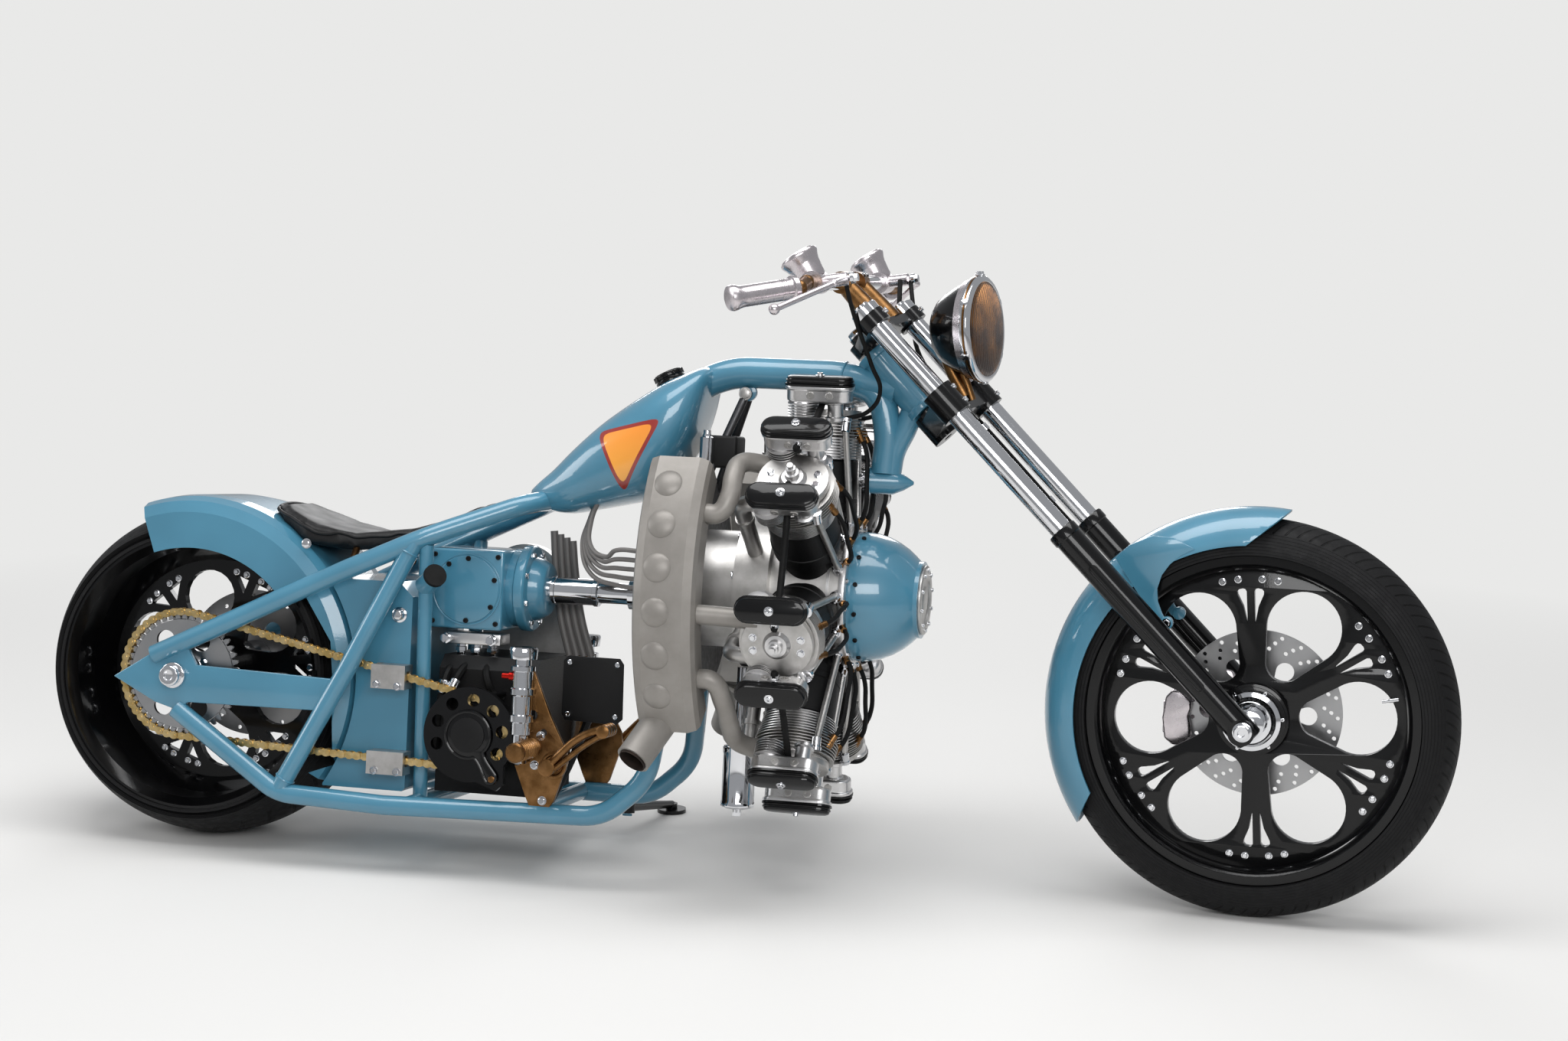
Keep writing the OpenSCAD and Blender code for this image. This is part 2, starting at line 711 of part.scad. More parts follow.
module oil_filter() {
    color(chrome) place_bike() {
        translate([1092, -50, 142]) cylinder(h = 112, r = 31);
        translate([1092, -50, 128]) cylinder(h = 15, r = 8);
        translate([1092, -50, 253]) cylinder(h = 151.7, r = 12);
    }
}

module engine_mount() {
    color("#6b6d70") place_bike() {
        difference() {
            union() {
                along_pin(988 + seat_gap, 1000 - seat_gap, 0, crank_z, 205);
                mirror_pair() rod([1063, -16, 925], [994, -62, 735], 8);
                mirror_pair() cross_pin(1063, 925, 10, -24, -6 - seat_gap);
            }
            along_pin(900, 1100, 0, crank_z, 78 + seat_gap);
        }
    }
}

// ---------------------------------------------------------------- foot controls and stand

module foot_controls() {
    difference() {
        union() {
            side_plate([[694, 392], [716, 392], [790, 235], [776, 190], [752, 120], [728, 120], [690, 200]], -191, -181);
            rod([722, -181, 238], [722, -292, 238], 17);
            rod([769, -191 + 2, 209], [769, -240, 209], 12);
            tube([[769, -236, 209], [820, -240, 262], [892, -246, 292]], 9);
            rod([892, -246, 292], [892, -305, 292], 12);
            rod([704, -202, 330], [704, -202, 428], 20);
            rod([704, -202, 250], [704, -202, 331], 12);
            rod([704, -202, 392], [704, -180, 392], 8);
        }
        tube([lower_rail[2], lower_rail[3], lower_rail[4]], rail_r + seat_gap);
    }
}

module right_foot_controls() {
    color(bronze) place_bike() foot_controls();
}

module left_foot_controls() {
    color(bronze) place_bike() mirror([0, 1, 0]) foot_controls();
}

// Side stand in ground axes: it turns about a pin under the left rail, its foot flat on the ground
stand_hinge = [800, 230.6, 56.3];
stand_foot = [840, 425, 0];
stand_leg = stand_foot + [0, 0, 16] - stand_hinge;
stand_tilt = atan2(-stand_leg[2], stand_leg[1]);

module on_stand_pin() {
    translate(stand_hinge) rotate([-stand_tilt, 0, 0]) children();
}

module side_stand() {
    color(black) translate(middle_shift) difference() {
        union() {
            rod(stand_hinge, stand_foot + [0, 0, 16], 11, 8);
            on_stand_pin() translate([0, 0, -13]) cylinder(h = 26, r = 15);
            translate(stand_foot) cylinder(h = 8, r = 30);
            translate(stand_foot + [0, 0, 7]) cylinder(h = 12, r = 12);
        }
        on_stand_pin() translate([0, 0, -20]) cylinder(h = 60, r = 6 + seat_gap);
    }
}

// Lug and pin welded to the left rail, for the side stand to turn on
module stand_bracket() {
    rail = [177.2, 119];
    color(blue) difference() {
        translate(middle_shift) {
            on_stand_pin() {
                translate([0, 0, -19]) cylinder(h = 36, r = 6);
                translate([0, 0, -19]) cylinder(h = 5, r = 10);
                translate([0, 0, 14]) cylinder(h = 17, r = 15);
            }
            rod(stand_hinge + 23 * [0, sin(stand_tilt), cos(stand_tilt)],
                [800, rail[0] * cos(lean) + rail[1] * sin(lean), rail[1] * cos(lean) - rail[0] * sin(lean)], 8);
        }
        place_bike() mirror([0, 1, 0]) rod(lower_rail[3], lower_rail[4], rail_r + seat_gap);
    }
}

// ---------------------------------------------------------------- fork

module legs() {
    for (s = [-1, 1]) translate([-leg_back, s * leg_y, 0]) children();
}

module fork_tubes() {
    color(chrome) place_fork() legs() {
        translate([0, 0, slider_top - 40]) cylinder(h = fork_top + 4 - slider_top + 40, r = fork_tube_r);
        translate([0, 0, fork_top + 4 - 0.01]) cylinder(h = 12, r1 = fork_tube_r, r2 = 12);
    }
}

module fork_sliders() {
    color(black) place_fork() difference() {
        legs() {
            translate([0, 0, -18]) cylinder(h = slider_top + 18, r = slider_r);
            translate([0, 0, 0]) rotate([90, 0, 0]) cylinder(h = 2 * slider_r, r = 24, center = true);
        }
        legs() translate([0, 0, slider_top - 40 - seat_gap]) cylinder(h = 60, r = fork_tube_r + seat_gap);
        cross_pin(0, 0, axle_r + seat_gap, -leg_y - 60, leg_y + 60);
    }
}

module tree_body(z0, h, clamp_r) {
    difference() {
        union() {
            legs() translate([0, 0, z0]) cylinder(h = h, r = clamp_r);
            translate([-steer_arm, 0, z0]) cylinder(h = h, r = 30);
            for (s = [-1, 1]) translate([0, 0, z0 + h * 0.15])
                linear_extrude(h * 0.7) polygon([[-steer_arm - 24, s * 8], [-steer_arm - 24, -s],
                    [-leg_back, -s], [-leg_back + 16, s * leg_y], [-leg_back - 22, s * leg_y]]);
        }
        legs() translate([0, 0, z0 - 10]) cylinder(h = h + 20, r = fork_tube_r + seat_gap);
    }
}

module upper_tree() {
    color(black) place_fork() difference() {
        union() {
            tree_body(upper_tree_z, upper_tree_h, 29);
            translate([-steer_arm, 0, fork_top - 1]) cylinder(h = 13, r = 19);
        }
        translate([-steer_arm, 0, upper_tree_z - 1]) cylinder(h = upper_tree_h - 5, r = stem_r + seat_gap);
    }
}

module lower_tree() {
    color(black) place_fork() difference() {
        union() {
            tree_body(lower_tree_z, lower_tree_h, 30);
            translate([-steer_arm, 0, lower_tree_z]) cylinder(h = upper_tree_z + upper_tree_h - 8 - lower_tree_z, r = stem_r);
        }
        translate([-steer_arm, 0, lower_tree_z - 1]) cylinder(h = 90, r = 9);
    }
}

// Fork frame places of the handlebar
bar_x = -17;
bar_z = 1110;
bar_r = 12.7;
grip_in = [-24, 330, 1104];
grip_out = [-106, 420, 1156];
tree_top = upper_tree_z + 0.85 * upper_tree_h + seat_gap;
// Point on the centre line of a grip, 0 at its inner end and 1 at its outer end
function grip_point(s, t) = let (p = grip_in + (grip_out - grip_in) * t) [p[0], s * p[1], p[2]];

module handlebar() {
    color(bronze) place_fork() difference() {
        union() {
            for (s = [-1, 1]) {
                translate([bar_x, s * 50, tree_top]) cylinder(h = bar_z - tree_top, r1 = 22, r2 = 17);
                rod([bar_x, s * 33, bar_z], [bar_x, s * 67, bar_z], 21);
            }
            tube([grip_point(-1, 0.97), grip_point(-1, 0), [bar_x, -290, bar_z], [bar_x, 290, bar_z],
                grip_point(1, 0), grip_point(1, 0.97)], bar_r);
        }
    }
}

module grips() {
    color(chrome) place_fork() for (s = [-1, 1]) difference() {
        union() {
            rod(grip_point(s, 0.06), grip_point(s, 0.16), 23);
            rod(grip_point(s, 0.15), grip_point(s, 1.06), 18.5);
        }
        rod(grip_point(s, -0.2), grip_point(s, 1), bar_r + seat_gap);
        translate(grip_point(s, 0)) sphere(r = bar_r + weld + seat_gap);
    }
}

module hand_controls() {
    color(chrome) place_fork() for (s = [-1, 1]) {
        difference() {
            union() {
                rod([bar_x, s * 205, bar_z], [bar_x, s * 262, bar_z], 21);
                rod([bar_x, s * 234, bar_z + 8], [bar_x + 8, s * 234, bar_z + 58], 26, 34);
                rod([bar_x, s * 226, bar_z], [bar_x + 46, s * 222, bar_z - 34], 12);
                tube([[bar_x + 46, s * 222, bar_z - 34], [bar_x + 38, s * 300, bar_z - 38],
                    [bar_x - 50, s * 410, bar_z - 18]], 6);
                translate([bar_x - 50, s * 410, bar_z - 18]) sphere(r = 10);
            }
            rod([bar_x, s * 150, bar_z], [bar_x, s * 290, bar_z], bar_r + seat_gap);
        }
    }
}

lamp = [1512 - 2050, 0, 1066 - 372];
module headlamp() {
    color(black) place_front_wheel() {
        translate(lamp) rotate([0, 0, -8]) rotate([0, 86, 0]) {
            rotate_extrude() polygon([[0, -92], [34, -88], [62, -72], [84, -44], [92, -14], [98, -12], [98, 4],
                [92, 8], [0, 14]]);
            translate([-104, 0, -6]) cylinder(h = 14, r = 9);
        }
        difference() {
            tube([[-566, 0, 566], [-600, 0, 628], [-610, 0, 668]], 12);
            translate(lamp) rotate([0, 0, -8]) rotate([0, 86, 0])
                rotate_extrude() polygon([[0, -92 - seat_gap], [34, -88 - seat_gap], [62, -72], [84, -44], [0, 14]]);
            rotate([0, -rake, 0]) translate([-steer_arm - 60, -80, lower_tree_z - 40])
                cube([160, 160, 0.85 * lower_tree_h + 40 + seat_gap]);
        }
    }
}

front_fender_r = 390;
fender_tube_r = 76;
module front_fender() {
    color(blue) place_front_wheel() {
        rotate([90, 0, 0]) rotate([0, 0, 82]) rotate_extrude(angle = 133) difference() {
            translate([front_fender_r - fender_tube_r, 0]) circle(r = fender_tube_r);
            translate([front_fender_r - fender_tube_r, 0]) circle(r = fender_tube_r - 4);
            translate([200, -100]) square([122, 200]);
        }
        mirror_pair() {
            side_plate([[-163, 168], [-137, 160], [-125, 262], [-205, 268], [-240, 222]], -76, -71);
            difference() {
                cross_pin(-149, 172, 11, -leg_y + 10, -75);
                rotate([0, -rake, 0]) legs() translate([0, 0, -20]) cylinder(h = 600, r = slider_r + seat_gap);
            }
        }
    }
}

module front_axle() {
    color(chrome) place_fork() {
        cross_pin(0, 0, axle_r, -leg_y - slider_r - 10, leg_y + slider_r + 10);
        for (s = [-1, 1]) cross_pin(0, 0, 17, s > 0 ? leg_y + slider_r + seat_gap : -leg_y - slider_r - 12,
            s > 0 ? leg_y + slider_r + 12 : -leg_y - slider_r - seat_gap);
    }
}

disc_y = 60;
module front_brake_caliper() {
    color(chrome) place_front_wheel() difference() {
        union() {
            translate([-172, disc_y - 24, -72]) cube([58, 62, 104]);
            side_plate([[-130, -30], [-62, -30], [-42, 52], [-62, 76], [-130, 40]], disc_y + 20, disc_y + 38);
            cross_pin(-62, 52, 15, disc_y + 36, leg_y - 5);
        }
        translate([-160, disc_y - 10, -80]) cube([160, 20, 120]);
        rotate([0, -rake, 0]) legs() translate([0, 0, -20]) cylinder(h = 600, r = slider_r + seat_gap);
    }
}

// ---------------------------------------------------------------- front wheel

front_bead_r = 296;
module front_tyre() {
    color(black) place_front_wheel() rotate([90, 0, 0]) rotate_extrude() difference() {
        translate([front_tyre_r - front_section_r, 0]) circle(r = front_section_r);
        translate([200, -80]) square([front_bead_r + seat_gap - 200, 160]);
        for (s = [-1, 1]) translate([200, s > 0 ? front_bead_half - seat_gap : -80])
            square([front_lip_r + seat_gap - 200, 80 - front_bead_half + seat_gap]);
    }
}

front_lip_out = front_bead_half + 6;
module front_rim() {
    color(black) place_front_wheel() rotate([0, -front_phase, 0]) difference() {
        union() {
            rotate([90, 0, 0]) rotate_extrude() polygon([[287, -front_lip_out], [front_lip_r, -front_lip_out],
                [front_lip_r, -front_bead_half], [front_bead_r, -front_bead_half], [front_bead_r, front_bead_half],
                [front_lip_r, front_bead_half], [front_lip_r, front_lip_out], [287, front_lip_out], [276, 36], [276, -36]]);
            wheel_spokes(278, 68, 177, 16, 100, 186, 9);
            cross_pin(0, 0, 64, -26, 40);
            cross_pin(0, 0, 52, -44, 52);
            cross_pin(0, 0, 38, -62, disc_y - 3 - seat_gap);
            cross_pin(0, 0, 26, -100, -60);
        }
        cross_pin(0, 0, axle_r + 1, -140, 140);
    }
}

module front_brake_disc() {
    color(silver) place_front_wheel() difference() {
        cross_pin(0, 0, front_disc_r, disc_y - 3, disc_y + 3);
        cross_pin(0, 0, axle_r + 1, 0, 140);
        for (i = [0:5]) rotate([0, i * 60, 0]) cross_pin(78, 0, 20, 0, 140);
        for (i = [0:23]) rotate([0, i * 15, 0]) cross_pin(front_disc_r - 18 + 9 * (i % 2), 0, 4, 0, 140);
    }
}

neck_and_backbone();
right_frame();
left_frame();
frame_cross_tubes();
fuel_tank();
fuel_cap();
seat();
seat_brackets();
rear_fender();
oil_tank();
oil_filler_cap();
rear_axle();
rear_brake_caliper();
drive_chain();
chain_guides();
transmission_case();
sprocket_cover();
gearbox();
drive_shaft();
belt_cover();
crankcase();
nose_case();
cylinder_barrels();
cylinder_heads();
rocker_covers();
pushrod_tubes();
intake_pipes();
exhaust_stubs();
right_collector();
left_collector();
oil_filter();
engine_mount();
right_foot_controls();
left_foot_controls();
stand_bracket();
side_stand();
fork_tubes();
fork_sliders();
upper_tree();
lower_tree();
handlebar();
grips();
hand_controls();
headlamp();
front_fender();
front_axle();
front_brake_caliper();
front_tyre();
front_rim();
front_brake_disc();
rear_tyre();
rear_rim();
rear_sprocket();
rear_brake_disc();
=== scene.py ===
import json
import math

import bpy
from mathutils import Matrix, Vector


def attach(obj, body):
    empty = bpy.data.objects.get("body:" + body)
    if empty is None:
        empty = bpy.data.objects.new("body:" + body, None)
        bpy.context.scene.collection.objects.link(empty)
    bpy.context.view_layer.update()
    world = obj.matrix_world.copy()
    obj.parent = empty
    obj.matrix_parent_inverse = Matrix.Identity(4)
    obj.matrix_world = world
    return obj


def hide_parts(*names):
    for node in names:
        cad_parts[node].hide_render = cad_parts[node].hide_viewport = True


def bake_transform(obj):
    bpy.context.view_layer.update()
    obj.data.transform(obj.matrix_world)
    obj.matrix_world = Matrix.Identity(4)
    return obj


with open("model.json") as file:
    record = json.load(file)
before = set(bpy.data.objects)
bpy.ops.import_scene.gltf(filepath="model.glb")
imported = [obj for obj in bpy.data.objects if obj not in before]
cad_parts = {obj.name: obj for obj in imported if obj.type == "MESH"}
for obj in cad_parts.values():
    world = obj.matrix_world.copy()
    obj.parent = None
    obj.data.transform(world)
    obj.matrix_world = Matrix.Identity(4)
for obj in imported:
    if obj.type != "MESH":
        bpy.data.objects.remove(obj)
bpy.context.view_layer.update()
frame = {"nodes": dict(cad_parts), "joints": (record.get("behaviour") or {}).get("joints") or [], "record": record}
nodes = frame["nodes"]

# ---------------------------------------------------------------- places on the motorcycle

# Everything is laid out in millimetres on the upright bike, X ahead and Y to its left from under the rear
# axle, and then leaned on its stand.
LEAN = math.radians(7)
STEER = math.radians(-6)
RAKE = math.radians(45)
MIDDLE = Vector((-1045.4, -110.9, 0))
WHEELBASE = 2050
STEER_ARM = 75
REAR_AXLE_Z = 329.95
CYLINDER_X = 1219
CRANK_Z = 550
CYLINDERS = 7
BOX_TILT = 11
GEARBOX_X = 545
GEARBOX_Z = 523
LEG_Y = 135
LEG_BACK = 6
CONTROL_Y = 186
RAIL_Y = 205
CHAIN_Y = 172
CHAIN_PITCH = 15.875
REAR_CHAIN_R = 121.0
GEAR_CHAIN_R = 67.0
# Middles of the small sprocket and of the belt's upper pulley, from the side
GEAR = Vector((600, 255))
BELT_TOP = Vector((583, 525))


def shift(x, y, z):
    return Matrix.Translation((x, y, z))


def turn(degrees, axis):
    return Matrix.Rotation(math.radians(degrees), 4, axis)


BIKE = Matrix.Scale(0.001, 4) @ Matrix.Translation(MIDDLE) @ Matrix.Rotation(-LEAN, 4, "X")
REAR = BIKE @ shift(0, 0, REAR_AXLE_Z)
# The front axle's height on the upright bike follows from the joint its wheel turns on.
HEAD_STOCK = shift(WHEELBASE, 0, 0) @ Matrix.Rotation(-RAKE, 4, "Y") @ shift(-STEER_ARM, 0, 0)
FORK_ROOT = HEAD_STOCK @ Matrix.Rotation(STEER, 4, "Z") @ shift(STEER_ARM, 0, 0)
wheel_joint = [joint for joint in frame["joints"] if joint["name"] == "front_wheel_spin"][0]
FRONT_AXLE_Z = (wheel_joint["pos_m"][2] - (BIKE @ FORK_ROOT).translation.z) * 1000 / math.cos(LEAN)
NECK = BIKE @ shift(0, 0, FRONT_AXLE_Z) @ HEAD_STOCK
FORK = BIKE @ shift(0, 0, FRONT_AXLE_Z) @ FORK_ROOT
FRONT = FORK @ Matrix.Rotation(RAKE, 4, "Y")
FRONT_SIDE = FRONT @ turn(90, "X")
REAR_SIDE = REAR @ turn(90, "X")
LAMP = FRONT @ shift(-538, 0, 694) @ turn(-8, "Z") @ turn(86, "Y")

# A plate lying in the bike's XZ plane, seen from its right side and from its left, one facing along
# the bike, and one with local X across the bike, Y up and Z ahead
SIDE = turn(90, "X")
LEFT_SIDE = turn(-90, "X")
OUTWARD = {-1: SIDE, 1: LEFT_SIDE}
AHEAD = turn(90, "Y")
ACROSS_UP_AHEAD = Matrix(((0, 0, 1, 0), (1, 0, 0, 0), (0, 1, 0, 0), (0, 0, 0, 1)))

# ---------------------------------------------------------------- finishes


def colour(code):
    """Linear colour of an sRGB hex value."""
    parts = [int(code[i:i + 2], 16) / 255 for i in (1, 3, 5)]
    return tuple(c / 12.92 if c <= 0.04045 else ((c + 0.055) / 1.055) ** 2.4 for c in parts) + (1.0,)


def add(tree, kind, inputs=None, **settings):
    """Adds a node: settings are its properties, inputs are what feeds its sockets or their values."""
    made = tree.nodes.new("ShaderNode" + kind)
    for name, value in settings.items():
        setattr(made, name, value)
    for name, value in (inputs or {}).items():
        if isinstance(value, bpy.types.NodeSocket):
            tree.links.new(value, made.inputs[name])
        else:
            made.inputs[name].default_value = value
    return made


def finish_shader(name, base, metallic, roughness, **rest):
    """A Principled material with its plain values; returns the material, its tree and its shader."""
    material = bpy.data.materials.new(name)
    material.use_nodes = True
    tree = material.node_tree
    shader = tree.nodes["Principled BSDF"]
    shader.inputs["Base Color"].default_value = colour(base)
    shader.inputs["Metallic"].default_value = metallic
    shader.inputs["Roughness"].default_value = roughness
    for key, value in rest.items():
        shader.inputs[key.replace("_", " ")].default_value = value
    return material, tree, shader


def place(tree, matrix=None, scale=(1, 1, 1)):
    """Object coordinates, turned into a part's own axes in millimetres or stretched."""
    coords = add(tree, "TexCoord").outputs["Object"]
    if matrix:
        where, rotation, scale = matrix.inverted().decompose()
        return add(tree, "Mapping", {"Vector": coords, "Location": where, "Rotation": rotation.to_euler(),
                                     "Scale": scale}).outputs["Vector"]
    return add(tree, "Mapping", {"Vector": coords, "Scale": scale}).outputs["Vector"]


def cloud(tree, scale, detail, low, high, a=0.0, b=1.0, where=None, rough=0.5):
    """Cloudy noise of so many lumps in a metre, its low..high stretched onto a..b."""
    lumps = add(tree, "TexNoise", {"Vector": where or place(tree), "Scale": scale, "Detail": detail,
                                   "Roughness": rough})
    return add(tree, "MapRange", {"Value": lumps.outputs["Fac"], "From Min": low, "From Max": high,
                                  "To Min": a, "To Max": b}).outputs["Result"]


# Sockets of a Mix node that take its two colours
TONE_A, TONE_B = 6, 7


def mottle(tree, shader, patches, first, second):
    """Lets the colour wander between two tones."""
    tones = add(tree, "Mix", {0: patches, TONE_A: colour(first), TONE_B: colour(second)}, data_type="RGBA")
    tree.links.new(tones.outputs[2], shader.inputs["Base Color"])


def haze(tree, shader, scale, detail, a, b, **rest):
    """Lets the gloss wander between two values of roughness."""
    tree.links.new(cloud(tree, scale, detail, 0.3, 0.7, a, b, **rest), shader.inputs["Roughness"])


def grain(tree, shader, scale, detail, depth, strength, socket="Normal", where=None, rough=0.5):
    """Raises a fine cloudy grain on the surface, or on its clear coat alone."""
    lumps = add(tree, "TexNoise", {"Vector": where or place(tree), "Scale": scale, "Detail": detail,
                                   "Roughness": rough})
    relief = add(tree, "Bump", {"Height": lumps.outputs["Fac"], "Distance": depth, "Strength": strength})
    tree.links.new(relief.outputs["Normal"], shader.inputs[socket])


def enamel(name, base, shade):
    """Two-pack enamel over primer: the clear coat gives the sharp highlights, and a faint orange
    peel 3 mm across breaks the long reflections."""
    material, tree, shader = finish_shader(name, base, 0.0, 0.38, Coat_Weight=1.0, Coat_Roughness=0.05)
    mottle(tree, shader, cloud(tree, 7.0, 2.0, 0.35, 0.65), base, shade)
    grain(tree, shader, 330.0, 1.0, 0.00012, 0.5, "Coat Normal")
    return material


# Greyed teal enamel of the frame, tank and fenders.
TEAL, TEAL_SHADE = "#43809A", "#3D7891"
teal_enamel = enamel("teal_enamel", TEAL, TEAL_SHADE)

# Powder-coated black with a gloss coat, as on cast wheels and covers.
black_gloss, tree, shader = finish_shader("black_powder_coat", "#040405", 0.0, 0.3, Coat_Weight=0.5,
                                          Coat_Roughness=0.05, Specular_IOR_Level=0.12)
grain(tree, shader, 420.0, 1.0, 0.0001, 0.4, "Coat Normal")

# Satin black on castings that are not polished: soft, slightly grainy.
black_satin, tree, shader = finish_shader("satin_black_casting", "#0A0A0B", 0.0, 0.5, Specular_IOR_Level=0.25)
grain(tree, shader, 900.0, 3.0, 0.0003, 0.5)
haze(tree, shader, 900.0, 3.0, 0.42, 0.6)

# Chrome plate on steel, with the least haze.
chrome, tree, shader = finish_shader("chrome_plate", "#DADBDE", 1.0, 0.07)
haze(tree, shader, 25.0, 3.0, 0.05, 0.1)

# Polished aluminium of the grips and reservoirs: warmer and softer than chrome.
polished_aluminium, tree, shader = finish_shader("polished_aluminium", "#D2CBCE", 1.0, 0.26)
haze(tree, shader, 60.0, 3.0, 0.22, 0.32)

# Sand-cast and machined aluminium of the engine: fine grain, greyish, with dark stains in its hollows.
cast_aluminium, tree, shader = finish_shader("cast_aluminium", "#A9A7A5", 1.0, 0.36)
mottle(tree, shader, cloud(tree, 28.0, 4.0, 0.35, 0.7, rough=0.6), "#C4C2C0", "#ABA9A6")
haze(tree, shader, 700.0, 4.0, 0.34, 0.46, rough=0.6)
grain(tree, shader, 700.0, 4.0, 0.0001, 0.3, rough=0.6)

# Milled aluminium of heads and boxes: brighter, with cutter marks about 1 mm apart.
milled_aluminium, tree, shader = finish_shader("milled_aluminium", "#D2D1D1", 1.0, 0.3)
cutter_marks = place(tree, scale=(1, 1, 9))
haze(tree, shader, 160.0, 3.0, 0.27, 0.36, where=cutter_marks)
grain(tree, shader, 500.0, 2.0, 0.00003, 0.25, where=cutter_marks)

# Ceramic-coated exhaust steel: warm grey, matt, a little mottled.
exhaust_coat, tree, shader = finish_shader("ceramic_exhaust_coat", "#9A958F", 0.3, 0.44)
mottle(tree, shader, cloud(tree, 14.0, 5.0, 0.3, 0.7, rough=0.6), "#918D88", "#807C77")
grain(tree, shader, 1100.0, 2.0, 0.0002, 0.35)

# Bare steel inside the outlets, brown-black with soot.
soot, tree, shader = finish_shader("sooty_steel", "#2A1E17", 0.3, 0.7)
mottle(tree, shader, cloud(tree, 60.0, 4.0, 0.3, 0.7), "#33251C", "#171210")

# Bronze plate and castings: brown and satin, darker where it is handled least.
bronze, tree, shader = finish_shader("aged_bronze", "#7A5836", 1.0, 0.34)
mottle(tree, shader, cloud(tree, 40.0, 4.0, 0.35, 0.65), "#86633F", "#664829")
haze(tree, shader, 300.0, 3.0, 0.26, 0.42)

# Zinc-and-brass plated chain.
chain_gold, tree, shader = finish_shader("brass_plated_chain", "#D8BF88", 1.0, 0.3)
mottle(tree, shader, cloud(tree, 60.0, 3.0, 0.35, 0.65), "#DDC592", "#C0A468")

# Ground stainless steel of the discs: its scratches are too fine to show and read as a soft sheen.
disc_steel, tree, shader = finish_shader("ground_stainless", "#ABABAC", 1.0, 0.3)
haze(tree, shader, 90.0, 2.0, 0.28, 0.34)

# Phosphated steel of the mounting ring: dark and dull.
dark_steel, tree, shader = finish_shader("phosphated_steel", "#4A4A4C", 0.9, 0.42)
haze(tree, shader, 90.0, 4.0, 0.34, 0.52)

# Natural rubber of hoses: nearly black, matt, with a dusty bloom.
rubber, tree, shader = finish_shader("black_rubber", "#0A0A0A", 0.0, 0.62, Specular_IOR_Level=0.2)
haze(tree, shader, 50.0, 4.0, 0.52, 0.72)

# Silicone sleeves of the leads: grey and soft.
grey_lead, tree, shader = finish_shader("grey_silicone_lead", "#6D6A68", 0.0, 0.5)
grain(tree, shader, 900.0, 1.0, 0.0002, 0.4)

# Red anodised aluminium of the inlet fittings: a metal seen through a clear red film.
anodised_red, tree, shader = finish_shader("red_anodised_aluminium", "#A81C14", 0.9, 0.3)
haze(tree, shader, 200.0, 2.0, 0.25, 0.36)

# Full-grain black leather: creases about 2 mm apart, satin where it is sat on.
leather, tree, shader = finish_shader("black_leather", "#0C0C0D", 0.0, 0.5, Specular_IOR_Level=0.35)
creases = add(tree, "TexVoronoi", {"Vector": place(tree), "Scale": 480.0}, feature="DISTANCE_TO_EDGE")
relief = add(tree, "Bump", {"Height": creases.outputs["Distance"], "Distance": 0.0006, "Strength": 0.45})
tree.links.new(relief.outputs["Normal"], shader.inputs["Normal"])
haze(tree, shader, 18.0, 4.0, 0.42, 0.58)

# Amber glass of the lamp over its reflector: pressed flutes run down it.
amber_glass, tree, shader = finish_shader("amber_lamp_glass", "#4A2A10", 0.55, 0.16, Coat_Weight=0.35,
                                          Coat_Roughness=0.03)
on_lamp = place(tree, LAMP)
mottle(tree, shader, cloud(tree, 0.02, 3.0, 0.35, 0.65, where=on_lamp), "#8A5A26", "#3A200C")
flutes = add(tree, "TexWave", {"Vector": on_lamp, "Scale": 0.05, "Distortion": 0.0}, bands_direction="Y")
relief = add(tree, "Bump", {"Height": flutes.outputs["Fac"], "Distance": 1.2, "Strength": 0.7})
tree.links.new(relief.outputs["Normal"], shader.inputs["Normal"])


